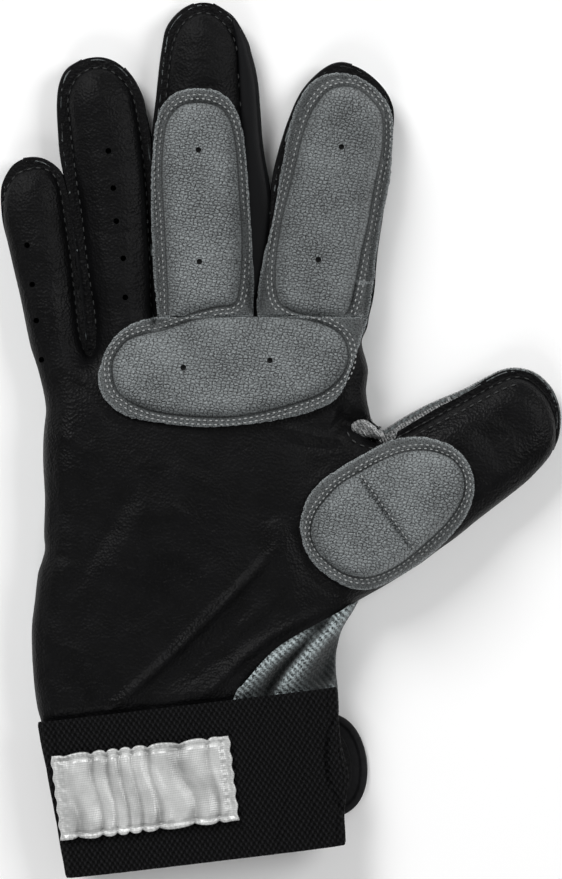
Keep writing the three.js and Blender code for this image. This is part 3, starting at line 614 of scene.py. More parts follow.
def lay(name, outline, height, spacing, thickness, holes=(), under=False, guides=()):
    """A sheet cut to an outline and laid over a height, with its own thickness; under turns it to the table."""
    # Rings of points follow the outline this far inside it, and a lattice of equal triangles fills the rest
    rings, fill_from, row_step = (0.0003, 0.0008, 0.0014), 0.0019, 0.866
    tree = tree_of(np.concatenate([outline, outline[:1]]))
    loops = [outline]
    for x, y in holes:
        angles = np.arange(12) * math.pi / 6
        loops.append(np.stack([x + VENT * np.cos(angles), y + VENT * np.sin(angles)], axis=1))
    low, high = outline.min(0), outline.max(0)
    rows = []
    for k, y in enumerate(np.arange(low[1], high[1], spacing * row_step)):
        x = np.arange(low[0] + (k % 2) * spacing / 2, high[0], spacing)
        rows.append(np.stack([x, np.full(len(x), y)], axis=1))
    lattice = np.concatenate(rows)
    lattice = lattice[inside(lattice, outline)]
    extra = [lattice[distance(lattice, tree) > fill_from]]
    inward = inward_of(outline)
    for inset in rings:
        ring = outline + inward * inset
        ring = ring[inside(ring, outline)]
        extra.append(ring[distance(ring, tree) > inset * 0.93])
    free = np.concatenate(extra)
    if len(guides):
        held = guides[inside(guides, outline)]
        held = held[distance(held, tree) > 0.0003]
        free = np.concatenate([free[distance(free, search(held)) > 0.42 * spacing], held])
    for x, y in holes:
        free = free[np.hypot(free[:, 0] - x, free[:, 1] - y) > VENT + 0.0003]
    points = np.concatenate(loops + [free])
    edges, start = [], 0
    for loop in loops:
        count = len(loop)
        edges += [(start + k, start + (k + 1) % count) for k in range(count)]
        start += count
    result = geometry.delaunay_2d_cdt([Vector(p) for p in points], edges, [], 0, 1e-7)
    plan = np.array([tuple(v) for v in result[0]])
    triangles = np.array(result[2])
    middle = plan[triangles].mean(axis=1)
    kept = inside(middle, outline)
    for x, y in holes:
        kept &= np.hypot(middle[:, 0] - x, middle[:, 1] - y) > VENT - 0.00001
    triangles = triangles[kept]
    a, b, c = (plan[triangles[:, k]] for k in range(3))
    area = (b[:, 0] - a[:, 0]) * (c[:, 1] - a[:, 1]) - (b[:, 1] - a[:, 1]) * (c[:, 0] - a[:, 0])
    solid = np.abs(area) > 1e-12
    triangles, area = triangles[solid], area[solid]
    triangles = np.where((area > 0)[:, None], triangles, triangles[:, ::-1])
    used, triangles = np.unique(triangles, return_inverse=True)
    plan, triangles = plan[used], triangles.reshape(-1, 3)

    reach = 0.0003
    slope_x, slope_y = ((height(plan + way) - height(plan - way)) / (2 * reach) for way in reach * np.eye(2))
    normal = np.stack([-slope_x, -slope_y, np.ones(len(plan))], axis=1)
    normal /= np.linalg.norm(normal, axis=1)[:, None]
    outer = np.column_stack([plan, height(plan)])
    side = -1 if under else 1
    inner = outer - side * thickness * normal
    count = len(plan)
    sides = np.concatenate([triangles[:, [0, 1]], triangles[:, [1, 2]], triangles[:, [2, 0]]])
    keys = np.sort(sides, axis=1)
    _, first, uses = np.unique(keys[:, 0] * count + keys[:, 1], return_index=True, return_counts=True)
    rim = sides[first[uses == 1]]
    along = plan[rim[:, 1]] - plan[rim[:, 0]]
    outward = np.stack([along[:, 1], -along[:, 0], np.zeros(len(rim))], axis=1)
    outward /= np.maximum(np.linalg.norm(outward, axis=1), 1e-12)[:, None]
    top, bottom = triangles, triangles[:, ::-1] + count
    wall = np.stack([rim[:, 1], rim[:, 0], rim[:, 0] + count, rim[:, 1] + count], axis=1)
    if under:
        top, bottom, wall = top[:, ::-1], bottom[:, ::-1], wall[:, ::-1]
    normals = np.concatenate([
        side * normal[top.ravel()], -side * normal[(bottom - count).ravel()], np.repeat(outward, 4, axis=0),
    ])
    return mesh_of(name, np.concatenate([outer, inner]), [top, bottom, wall], normals)


def skirt(name, path, profile):
    """A band on the left of a line on the table; the profile gives how far out and how high each of its rows is."""
    side = to_left(unit(np.gradient(path, axis=0)))
    rows = [np.column_stack([path + side * out, np.full(len(path), up)]) for out, up in profile]
    index = np.arange(len(rows) * len(path)).reshape(len(rows), len(path))
    return mesh_of(name, np.concatenate(rows), [squares(index)])


def choose(*pieces):
    """Selects pieces and nothing else, and makes the first the active one."""
    bpy.ops.object.select_all(action="DESELECT")
    for piece in pieces:
        piece.select_set(True)
    bpy.context.view_layer.objects.active = pieces[0]


def edit(step, **settings):
    """Takes one step of mesh editing on the whole active piece."""
    bpy.ops.object.mode_set(mode="EDIT")
    bpy.ops.mesh.select_all(action="SELECT")
    step(**settings)
    bpy.ops.object.mode_set(mode="OBJECT")


def soften(piece, width):
    """Rounds a piece's edges."""
    edge = piece.modifiers.new("soft edge", "BEVEL")
    edge.width = width
    edge.segments = 3
    edge.limit_method = "ANGLE"
    choose(piece)
    bpy.ops.object.modifier_apply(modifier=edge.name)
    bpy.ops.object.shade_smooth_by_angle(angle=math.radians(40))


def join(name, parts):
    """Joins new pieces into one."""
    choose(*parts)
    bpy.ops.object.join()
    parts[0].name = name
    return parts[0]


def mark(piece, name, values):
    """Keeps a number or a vector at each of a piece's points, for its material."""
    values = np.asarray(values, np.float32)
    kind, field = ("FLOAT", "value") if values.ndim == 1 else ("FLOAT_VECTOR", "vector")
    piece.data.attributes.new(name, kind, "POINT").data.foreach_set(field, values.ravel())


def plan_of(piece):
    """The places of a piece's points on the table."""
    flat = np.zeros(len(piece.data.vertices) * 3)
    piece.data.vertices.foreach_get("co", flat)
    return flat.reshape(-1, 3)[:, :2]


def settle(piece, body, finish, nodes=()):
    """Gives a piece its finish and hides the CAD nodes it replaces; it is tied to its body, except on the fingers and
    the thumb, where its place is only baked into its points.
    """
    piece.data.materials.clear()
    piece.data.materials.append(bpy.data.materials[finish])
    if body in ("little_finger", "ring_finger", "middle_finger", "index_finger"):
        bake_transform(piece)
    elif body == "thumb":
        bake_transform(piece)
    else:
        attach(piece, body)
    if nodes:
        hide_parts(*nodes)


class Wire:
    """A value on its way between shader nodes; the usual signs make the Math nodes."""

    def __init__(self, tree, socket):
        self.tree, self.socket = tree, socket

    def feed(self, slot):
        """Leads the value into a socket."""
        self.tree.links.new(self.socket, slot)

    def calculated(self, operation, *values):
        """What a Math node makes of numbers and wires."""
        node = self.tree.nodes.new("ShaderNodeMath")
        node.operation = operation
        fill(node.inputs, values)
        return Wire(self.tree, node.outputs[0])

    def __add__(self, other):
        return self.calculated("ADD", self, other)

    def __radd__(self, other):
        return self.calculated("ADD", other, self)

    def __sub__(self, other):
        return self.calculated("SUBTRACT", self, other)

    def __rsub__(self, other):
        return self.calculated("SUBTRACT", other, self)

    def __mul__(self, other):
        return self.calculated("MULTIPLY", self, other)

    def wave(self):
        """The sine of the value."""
        return self.calculated("SINE", self)

    def held(self, low, high):
        """Runs from 0 at low to 1 at high, and no further."""
        node = self.tree.nodes.new("ShaderNodeMapRange")
        node.inputs["From Min"].default_value = low
        node.inputs["From Max"].default_value = high
        self.feed(node.inputs["Value"])
        return Wire(self.tree, node.outputs["Result"])


def fill(slots, values):
    """Gives each socket its number or its wire."""
    for slot, value in zip(slots, values):
        if isinstance(value, Wire):
            value.feed(slot)
        else:
            slot.default_value = value


class Finish:
    """A material in the making."""

    def __init__(self, name, roughness, **constants):
        self.material = bpy.data.materials.new(name)
        self.material.use_nodes = True
        self.tree = self.material.node_tree
        self.shader = self.tree.nodes["Principled BSDF"]
        self.shader.inputs["Roughness"].default_value = roughness
        fill([self.shader.inputs[key.replace("_", " ")] for key in constants], constants.values())
        self.coordinates = self.node("ShaderNodeTexCoord", output="Object")

    def node(self, kind, settings=None, output=0, **sockets):
        """Any other node: its settings by name, and its sockets by name as numbers or wires."""
        node = self.tree.nodes.new(kind)
        for key, value in (settings or {}).items():
            setattr(node, key, value)
        fill([node.inputs[key.replace("_", " ")] for key in sockets], sockets.values())
        return Wire(self.tree, node.outputs[output])

    def marked(self, name, output="Fac"):
        """What a piece keeps at its points under a name."""
        return self.node("ShaderNodeAttribute", {"attribute_name": name}, output=output)

    def turned(self, degrees, stretch=(1, 1, 1)):
        """The glove's own coordinates, turned on the table."""
        return self.node(
            "ShaderNodeMapping", Vector=self.coordinates, Rotation=(0, 0, math.radians(degrees)), Scale=stretch,
        )

    def axis(self, vector, name):
        return self.node("ShaderNodeSeparateXYZ", output=name, Vector=vector)

    def noise(self, scale, detail=2.0, output="Fac"):
        return self.node("ShaderNodeTexNoise", output=output, Vector=self.coordinates, Scale=scale, Detail=detail)

    def coloured(self, share, dark, light):
        """Base colour between a dark and a light tone."""
        mixed = self.node("ShaderNodeMix", {"data_type": "RGBA"}, output=2, Factor=share)
        fill(mixed.socket.node.inputs[6:8], ((*dark, 1), (*light, 1)))
        mixed.feed(self.shader.inputs["Base Color"])

    def dip(self, wire, middle, reach):
        """1 where the value is the middle one, and 0 from the reach on."""
        return 1 - wire.calculated("ABSOLUTE", wire - middle).held(0.0, reach)

    def rough(self, wire):
        wire.feed(self.shader.inputs["Roughness"])

    def relief(self, wire, depth, strength=1.0):
        bump = self.node("ShaderNodeBump", Height=wire, Distance=depth, Strength=strength)
        bump.feed(self.shader.inputs["Normal"])


def shade(colour, factor):
    """A colour made darker or lighter."""
    return tuple(min(1.0, part * factor) for part in colour)


class GloveColours(bpy.types.PropertyGroup):
    """The colours of the glove's materials."""

    leather: bpy.props.FloatVectorProperty(
        name="Leather", description="Black leather of the palm and fingers", subtype="COLOR", min=0, max=1,
        default=(0.0026, 0.0026, 0.0029),
    )
    cover: bpy.props.FloatVectorProperty(
        name="Pad cover", description="Grey pebbled cover of the pads", subtype="COLOR", min=0, max=1,
        default=(0.185, 0.200, 0.204),
    )
    knit: bpy.props.FloatVectorProperty(
        name="Knit", description="Grey ribbed knit of the back and wrist", subtype="COLOR", min=0, max=1,
        default=(0.150, 0.172, 0.176),
    )
    gusset: bpy.props.FloatVectorProperty(
        name="Gusset", description="Smooth black cloth between the fingers", subtype="COLOR", min=0, max=1,
        default=(0.0042, 0.0044, 0.0050),
    )
    elastic: bpy.props.FloatVectorProperty(
        name="Elastic", description="Black woven elastic of the cuff and strap", subtype="COLOR", min=0, max=1,
        default=(0.0026, 0.0026, 0.0029),
    )
    satin: bpy.props.FloatVectorProperty(
        name="Satin", description="White satin of the bare label", subtype="COLOR", min=0, max=1,
        default=(0.47, 0.475, 0.47),
    )
    thread: bpy.props.FloatVectorProperty(
        name="Thread", description="Grey thread of the pads' seams", subtype="COLOR", min=0, max=1,
        default=(0.33, 0.34, 0.34),
    )


class GloveSizes(bpy.types.PropertyGroup):
    """The sizes that a maker would change."""

    pad_crown: bpy.props.FloatProperty(
        name="Pad crown", description="How far a pad stands over its flange", unit="LENGTH", default=0.0036, min=0.001,
    )
    thumb_crown: bpy.props.FloatProperty(
        name="Thumb pad crown", description="How far the thumb pad stands over its flange", unit="LENGTH",
        default=0.0039, min=0.001,
    )
    stitch_pitch: bpy.props.FloatProperty(
        name="Leather stitch pitch", description="From stitch to stitch along the leather seams", unit="LENGTH",
        default=0.0025, min=0.001,
    )
    pad_pitch: bpy.props.FloatProperty(
        name="Pad stitch pitch", description="From stitch to stitch round the pads", unit="LENGTH",
        default=0.00155, min=0.001,
    )
    camera_height: bpy.props.FloatProperty(
        name="Camera height", description="Height of the camera over the table", unit="LENGTH", default=1.5, min=0.5,
    )


def make_leather(colour):
    """Black leather with a fine grain, a little glossier in patches."""
    finish = Finish("glove_leather", 0.5, Specular_IOR_Level=0.1)
    cells = finish.node("ShaderNodeTexVoronoi", output="Distance", Vector=finish.coordinates, Scale=1300)
    grain = cells * 0.7 + finish.noise(800, 3) * 0.8
    patches = finish.noise(45, 3).held(0.4, 0.75)
    finish.coloured(finish.noise(160, 4).held(0.3, 0.75), shade(colour, 0.7), shade(colour, 1.5))
    finish.rough(0.5 - patches * 0.16 + finish.noise(700, 2) * 0.08)
    finish.relief(grain, 0.00026, 0.85)


def make_cover(colour):
    """Embossed leather: scale-like pebbles with dark creases; smoother outside the pad, with painted shade in the
    groove and the stitched band round it.
    """
    finish = Finish("glove_cover", 0.7, Specular_IOR_Level=0.3, Sheen_Weight=0.06)
    finish.coordinates = finish.marked("plan", "Vector")
    stretched = finish.turned(12, (0.8, 1.12, 1))
    sway = finish.noise(520.0, output="Color")
    scaled = finish.node("ShaderNodeVectorMath", {"operation": "SCALE"}, Vector=sway, Scale=0.0004)
    bent = finish.node("ShaderNodeVectorMath", {"operation": "ADD"}, Vector=stretched)
    scaled.feed(bent.socket.node.inputs[1])
    edges = finish.node(
        "ShaderNodeTexVoronoi", {"feature": "DISTANCE_TO_EDGE", "voronoi_dimensions": "2D"}, output="Distance",
        Vector=bent, Scale=1060.0, Randomness=0.68,
    )
    seam, rim = finish.marked("seam"), finish.marked("rim")
    outside = seam.held(-0.5, 0.3)
    fibres = finish.noise(2600, 4)
    pebbles = edges.held(0.0, 0.34) * (1 - outside * 0.8)
    # Painted shade: groove darkens the foot of the raised middle, and sewn darkens the stitched band of the flange
    # beside it
    creases = 1 - (1 - edges.held(0.0, 0.2)) * (1 - outside * 0.8)
    groove = finish.dip(seam, 0.5, 0.34)
    sewn = seam.held(0.1, 0.5) * rim.held(0.35, 0.9)
    fringe = (1 - rim.held(0.0, 0.6)) * fibres.held(0.4, 0.6)
    tone = creases * 0.34 + finish.noise(1000, 3) * 0.5 + finish.noise(75, 3) * 0.5
    tone = tone + (fibres - 0.5) * (outside * 1.7 + 1.5)
    # The flange is a darker suede with a pale raw fringe; the groove and the stitched band get painted shade
    tone = tone.held(0.44, 1.08) * (1 - outside * 0.3) * (1 - groove * 0.85) * (1 - sewn * 0.58) + fringe * 0.35
    # Painted shade: the tone is scaled by the piece's kept shade, lower on the index pad where less light falls
    tone = tone * finish.marked("shade")
    finish.coloured(tone.held(0.0, 1.0), shade(colour, 0.14), shade(colour, 1.6))
    finish.rough(0.6 + finish.noise(400, 2) * 0.18 + outside * 0.1)
    finish.relief(pebbles + finish.noise(1900, 3) * 0.9, 0.00045, 0.7)


def make_knit(name, colour, degrees, pitch, shaded=False, faded=False):
    """Ribbed knit; shaded paints shade into its folds and highlight onto its ridges from what a piece keeps as its
    rise, and faded darkens it by its rise.
    """
    finish = Finish(name, 0.88, Specular_IOR_Level=0.2, Sheen_Weight=0.15)
    turned = finish.turned(degrees)
    across = finish.axis(turned, "X") + finish.noise(220, 2) * 0.0011
    along = finish.axis(turned, "Y")
    ribs = (across * (2 * math.pi / pitch)).wave()
    loops = (along * (2 * math.pi / (pitch * 0.62)) + ribs * 1.4).wave()
    fuzz = finish.noise(1800, 3)
    height = ribs * 0.6 + loops * 0.2 + fuzz * 1.3
    tone = height.held(-0.3, 1.7)
    specks = fuzz.held(0.43, 0.6) * 0.7 + finish.noise(900, 2).held(0.35, 0.65) * 0.3
    if shaded:
        # Painted shade and highlight: the kept rise is the fold height, dark in the valleys and light on the ridges
        lift = finish.marked("rise").held(-1.3, 2.4)
        tone = (tone.held(0.3, 0.8) * 0.45 + specks * 0.5) * (0.05 + lift * lift * 1.35)
        finish.coloured(tone.held(0.0, 1.0), shade(colour, 0.08), shade(colour, 3.0))
    elif faded:
        tone = (tone * 0.4 + specks * 0.6) * finish.marked("rise").held(0.0, 2.0)
        finish.coloured(tone, shade(colour, 0.08), shade(colour, 3.0))
    else:
        finish.coloured(tone, shade(colour, 0.3), shade(colour, 1.4))
    finish.relief(height, 0.0004, 0.8)


def make_gusset(colour):
    """Smooth black cloth."""
    finish = Finish("glove_gusset", 0.5, Specular_IOR_Level=0.12)
    weave = finish.noise(2400, 2)
    finish.coloured(finish.noise(120, 3), shade(colour, 0.8), shade(colour, 1.3))
    finish.rough(0.44 + weave * 0.14)
    finish.relief(weave, 0.00008, 0.4)


def make_elastic(colour):
    """Woven elastic: rows along the cuff, crossed by picks, with painted sheen on the threads' tops."""
    finish = Finish("glove_elastic", 0.7, Specular_IOR_Level=0.1)
    turned = finish.turned(-CUFF_DEGREES)
    across, along = finish.axis(turned, "X"), finish.axis(turned, "Y")
    wobble = finish.noise(420, 2) * 2.2
    rows = (along * (2 * math.pi / 0.0021) + wobble * 0.8).wave()
    picks = (across * (2 * math.pi / 0.00145) + wobble).wave()
    height = rows * picks * 1.1 + finish.noise(2200, 3) * 1.1
    # Painted sheen: the base colour runs lighter where the weave stands high
    finish.coloured(height.held(0.3, 1.35), shade(colour, 0.25), shade(colour, 3.9))
    finish.relief(height, 0.0004, 0.8)


def make_satin(colour):
    """Shining satin, with painted shade where it dips and painted highlight on its crests."""
    finish = Finish("glove_satin", 0.42, Specular_IOR_Level=0.6, Metallic=0.25, Sheen_Weight=0.1)
    turned = finish.turned(-CUFF_DEGREES)
    across, along = finish.axis(turned, "X"), finish.axis(turned, "Y")
    weft = (along * (2 * math.pi / 0.0006) + finish.noise(500, 2)).wave()
    threads = weft * 0.5 + (across * (2 * math.pi / 0.00045)).wave() * 0.35
    # Painted shade and highlight: the kept rise is low in the folds' valleys and high on their crests
    rise = finish.marked("rise").held(0.0, 1.0)
    tone = threads.held(-0.8, 0.8) * 0.2 + finish.noise(330, 3) * 0.4 + rise * 0.42
    finish.coloured(tone, shade(colour, 0.3), shade(colour, 1.55))
    finish.rough(0.36 + finish.noise(260, 3) * 0.14)
    finish.relief(threads + finish.noise(1200, 3) * 1.2, 0.00006, 0.5)


def make_plain(name, colour, roughness, scale, depth, spread=0.25):
    """A material of one colour with a fine uneven surface."""
    finish = Finish(name, roughness, Specular_IOR_Level=0.2)
    texture = finish.noise(scale, 4)
    finish.coloured(texture.held(0.3, 0.7), shade(colour, 1 - spread), shade(colour, 1 + spread))
    finish.relief(texture, depth, 0.5)


class GloveStep(bpy.types.Operator):
    """Parent of the glove's steps."""

    bl_options = {"REGISTER", "UNDO"}

    @property
    def sizes(self):
        return bpy.context.scene.glove_sizes


class GLOVE_OT_finishes(GloveStep):
    """Make the glove's materials from its colours"""

    bl_idname = "glove.finishes"
    bl_label = "Materials"

    def execute(self, context):
        tones = context.scene.glove_colours
        make_leather(tones.leather)
        make_cover(tones.cover)
        make_knit("glove_knit", tones.knit, -46, 0.0015, shaded=True)
        make_knit("glove_loops", shade(tones.knit, 3.0), -32, 0.0008, faded=True)
        make_knit("glove_back_knit", tones.knit, 0, 0.0017)
        make_gusset(tones.gusset)
        make_elastic(tones.elastic)
        make_satin(tones.satin)
        make_plain("glove_thread", tones.thread, 0.7, 3500, 0.00005)
        make_plain("glove_dark_thread", shade(tones.thread, 0.12), 0.6, 3500, 0.00005)
        make_plain("glove_rubber", (0.012, 0.012, 0.013), 0.42, 900, 0.00005)
        make_plain("glove_hooks", (0.009, 0.009, 0.0095), 0.9, 2600, 0.0004, 0.6)
        make_plain("glove_foam", (0.03, 0.03, 0.03), 0.95, 1800, 0.0003)
        return {"FINISHED"}


@functools.cache
def seam_guides():
    """Loose points along the sewn line, so that the swelling starts cleanly there."""
    return beside(curve(SEWN_LINE, closed=True), (0.0005, 0.0, -0.0003, -0.0007, -0.0012, -0.0018))


def finger_outline(edge):
    """A finger's closed outline: its drawn edge, and the hinge line back to its start."""
    return np.concatenate([curve(edge)[:-1], straight(edge[-1], edge[0])])


def thumb_outline(edge):
    """The thumb's closed outline: its drawn edge, and its slanting hinge line back to the crotch."""
    return np.concatenate([curve(edge)[:-1], straight(THUMB_END, THUMB_CORNER, edge[0])])


def knit_outline():
    """The side knit's closed outline."""
    return np.concatenate([curve(KNIT_RIGHT)[:-1], straight(KNIT_RIGHT[-1], KNIT_LINE[0]), curve(KNIT_LINE)[:-1]])


def hand_outline(wrist):
    """The hand's closed outline below the hinges; the wrist's drawn line differs between palm and back."""
    hinges = straight(
        (31, LITTLE_HINGE), (87, LITTLE_HINGE), (86, RING_HINGE), (153, RING_HINGE), (153, LONG_HINGE),
        (254, LONG_HINGE), (369, LONG_HINGE),
    )
    return np.concatenate([
        curve(LEFT_SIDE)[:-1], hinges, curve(RIGHT_SIDE)[:-1], straight(CROTCH, THUMB_CORNER, THUMB_END),
        curve(WRIST_RIGHT)[:-1], curve(wrist)[:-1], straight(wrist[-1], LEFT_SIDE[0]),
    ])


@functools.cache
def build_front():
    """The front's heights, made once."""
    return Front()


@functools.cache
def build_back():
    """The knit back's heights, made once: it rounds from the seam down to the table, also between the fingers."""
    gap = Field.gap(np.concatenate([
        curve(LEFT_SIDE)[:-1], curve(LITTLE_EDGE), place([(88, 357)]), curve(RING_EDGE), place([(154, 326)]),
        curve(MIDDLE_BRIM), curve(INDEX_EDGE), curve(RIGHT_SIDE), curve(THUMB_BRIM), curve(WRIST_RIGHT),
        curve(KNIT_RIGHT), place([(345, 790), (52, 800)]),
    ]))
    waves = Field(0.5 + 0.5 * Field.ripples(11, 0.011))

    def height(points):
        drop = 1 - rounded(gap.at(points), 0.006)
        return (SEAM_HEIGHT - 0.0002) * drop + 0.00035 * waves.at(points) * (1 - drop)

    return height


class GLOVE_OT_hand_shell(GloveStep):
    """Lay the palm leather, the side knit and the back of the hand"""

    bl_idname = "glove.hand_shell"
    bl_label = "Hand shell"

    def execute(self, context):
        front = build_front()
        vents = place(LEATHER_VENTS["palm"])
        outline = hand_outline(KNIT_LINE[::-1])
        palm = lay("palm_leather_sheet", outline, front.leather, 0.001, LEATHER, vents, guides=seam_guides())
        settle(palm, "hand", "glove_leather", ["palm_leather"])
        side = lay("side_knit_sheet", knit_outline(), front.side, 0.0007, LEATHER)
        # The knit's fold heights in millimetres, kept for its painted shade in the valleys and painted highlight on the
        # ridges
        mark(side, "rise", 1000 * front.knit.at(plan_of(side)))
        settle(side, "hand", "glove_knit", ["side_knit_panel"])
        outline = hand_outline(KNIT_RIGHT)
        back = lay("back_knit_sheet", outline, build_back(), 0.0016, LEATHER, under=True)
        settle(back, "hand", "glove_back_knit", ["back_panel"])
        return {"FINISHED"}


# Each finger's front edge, its back's brim, and which of the brim's points each gusset runs along
FINGERS = {
    "little": {"edge": LITTLE_EDGE, "brim": LITTLE_EDGE, "gussets": {"little_gusset": (10, 22)}},
    "ring": {
        "edge": RING_EDGE, "brim": RING_EDGE,
        "gussets": {"ring_gusset_left": (0, 12), "ring_gusset_right": (15, 25)},
    },
    "middle": {
        "edge": MIDDLE_EDGE, "brim": MIDDLE_BRIM,
        "gussets": {"middle_gusset_left": (0, 14), "middle_gusset_right": (16, 31)},
    },
    "index": {"edge": INDEX_EDGE, "brim": INDEX_EDGE, "gussets": {"index_gusset": (0, 17)}},
}

# The walls' sections: how far outside the brim and how high each row lies, in metres
GUSSET_PROFILE = [
    (-0.0012, 0.0060), (0.0001, 0.0061), (0.0004, 0.0053), (0.0003, 0.0042), (-0.0004, 0.0031), (-0.0016, 0.0023),
]
THUMB_PROFILE = [
    (-0.0042, 0.0052), (-0.0030, 0.0058), (-0.0012, 0.0063), (-0.0001, 0.0059), (0.0003, 0.0050),
    (0.0002, 0.0040), (-0.0006, 0.0030), (-0.0020, 0.0022),
]

# Where the middle finger's wide gusset meets its front, from the hinge up
WIDE_GUSSET = [
    (246, LONG_HINGE), (246, 285), (244, 240), (242, 190), (240, 150), (238, 110), (237, 70), (235, 40), (232, 24),
]


class GLOVE_OT_fingers(GloveStep):
    """Lay the front, the back and the gussets of the four fingers"""

    bl_idname = "glove.fingers"
    bl_label = "Fingers"

    def execute(self, context):
        front, back = build_front(), build_back()
        for name, finger in FINGERS.items():
            body = f"{name}_finger"
            vents = place(LEATHER_VENTS.get(name, []))
            outline = finger_outline(finger["edge"])
            leather = lay(
                f"{name}_front_leather", outline, front.leather, 0.001, LEATHER, vents, guides=seam_guides(),
            )
            settle(leather, body, "glove_leather", [f"{name}_front"])
            knit = lay(f"{name}_back_knit", finger_outline(finger["brim"]), back, 0.0016, LEATHER, under=True)
            settle(knit, body, "glove_back_knit", [f"{name}_back"])
            for node, (first, last) in finger["gussets"].items():
                parts = [skirt(f"{node}_wall", curve(finger["brim"][first:last + 1]), GUSSET_PROFILE)]
                if node == "middle_gusset_right":
                    parts.append(self.wide_gusset())
                settle(join(f"{node}_cloth", parts), body, "glove_gusset", [node])
        return {"FINISHED"}

    def wide_gusset(self):
        """The part of the middle finger's gusset that shows beside its front."""
        outline = np.concatenate([
            curve(MIDDLE_BRIM[18:])[:-1], straight(MIDDLE_BRIM[-1], WIDE_GUSSET[0]),
            curve(WIDE_GUSSET)[:-1], straight(WIDE_GUSSET[-1], MIDDLE_BRIM[18]),
        ])
        gap = Field.gap(outline)
        return lay(
            "middle_gusset_face", outline, lambda points: 0.0066 + 0.0012 * rounded(gap.at(points), 0.003),
            0.0012, 0.0006,
        )


class GLOVE_OT_thumb(GloveStep):
    """Lay the front, the back, the edge knit and the web of the thumb"""

    bl_idname = "glove.thumb"
    bl_label = "Thumb"

    def execute(self, context):
        leather = lay(
            "thumb_front_leather", thumb_outline(THUMB_EDGE), build_front().leather, 0.001, LEATHER,
            guides=seam_guides(),
        )
        settle(leather, "thumb", "glove_leather", ["thumb_front"])
        back = lay("thumb_back_knit", thumb_outline(THUMB_BRIM), build_back(), 0.0013, LEATHER, under=True)
        settle(back, "thumb", "glove_back_knit", ["thumb_back"])
        brim = curve(THUMB_BRIM[:17])
        wall = skirt("thumb_edge_wall", brim, THUMB_PROFILE)
        along = np.tile(np.linspace(0, 1, len(brim)), len(THUMB_PROFILE))
        mark(wall, "rise", 1 - eased(along, 0.62, 0.86))
        settle(wall, "thumb", "glove_loops", ["thumb_gusset"])
        self.web()
        return {"FINISHED"}

    def web(self):
        """The roll of looped knit in the thumb's crotch: a puffed half-moon, fatter and paler at its outer rim."""
        outline = curve(THUMB_WEB, closed=True, spacing=0.0005)
        gap = Field.gap(outline)
        rim = tree_of(curve(THUMB_WEB[:8], spacing=0.0005))

        def height(points):
            roll = np.exp(-((distance(points, rim) - 0.0011) / 0.0009) ** 2)
            return 0.0078 + 0.0026 * rounded(gap.at(points), 0.0016) + 0.0014 * roll * (gap.at(points) > 0)

        web = lay("thumb_web_knit", outline, height, 0.0005, 0.0032)
        mark(web, "rise", 0.9 + 0.5 * np.exp(-(distance(plan_of(web), rim) / 0.0013) ** 2))
        settle(web, "thumb", "glove_loops", ["thumb_web"])


def divider_gap(points):
    """The distance to the channel sewn across the thumb pad."""
    start, end = place([THUMB_CORNER, THUMB_END])
    side = (end - start) / np.linalg.norm(end - start)
    apart = points - start
    return np.abs(apart[:, 0] * side[1] - apart[:, 1] * side[0])


def beyond(points):
    """Above zero on the thumb's side of its hinge line, and below zero on the hand's."""
    start, end = place([THUMB_CORNER, THUMB_END])
    side = end - start
    return side[0] * (points[:, 1] - start[1]) - side[1] * (points[:, 0] - start[0])


def cut(outline, side):
    """The part of a closed outline on one side of the thumb's hinge line, closed along it: 1 is the thumb's side."""
    kept = []
    over = side * beyond(outline)
    for first, second, here, there in zip(outline, np.roll(outline, -1, axis=0), over, np.roll(over, -1)):
        if here >= 0:
            kept.append(first)
        if (here > 0 > there) or (here < 0 < there):
            kept.append(first + (second - first) * here / (here - there))
    result = []
    for first, second in zip(kept, kept[1:] + kept[:1]):
        steps = max(1, math.ceil(np.linalg.norm(second - first) / 0.0009))
        result += [first + (second - first) * k / steps for k in range(steps)]
    return np.array(result)


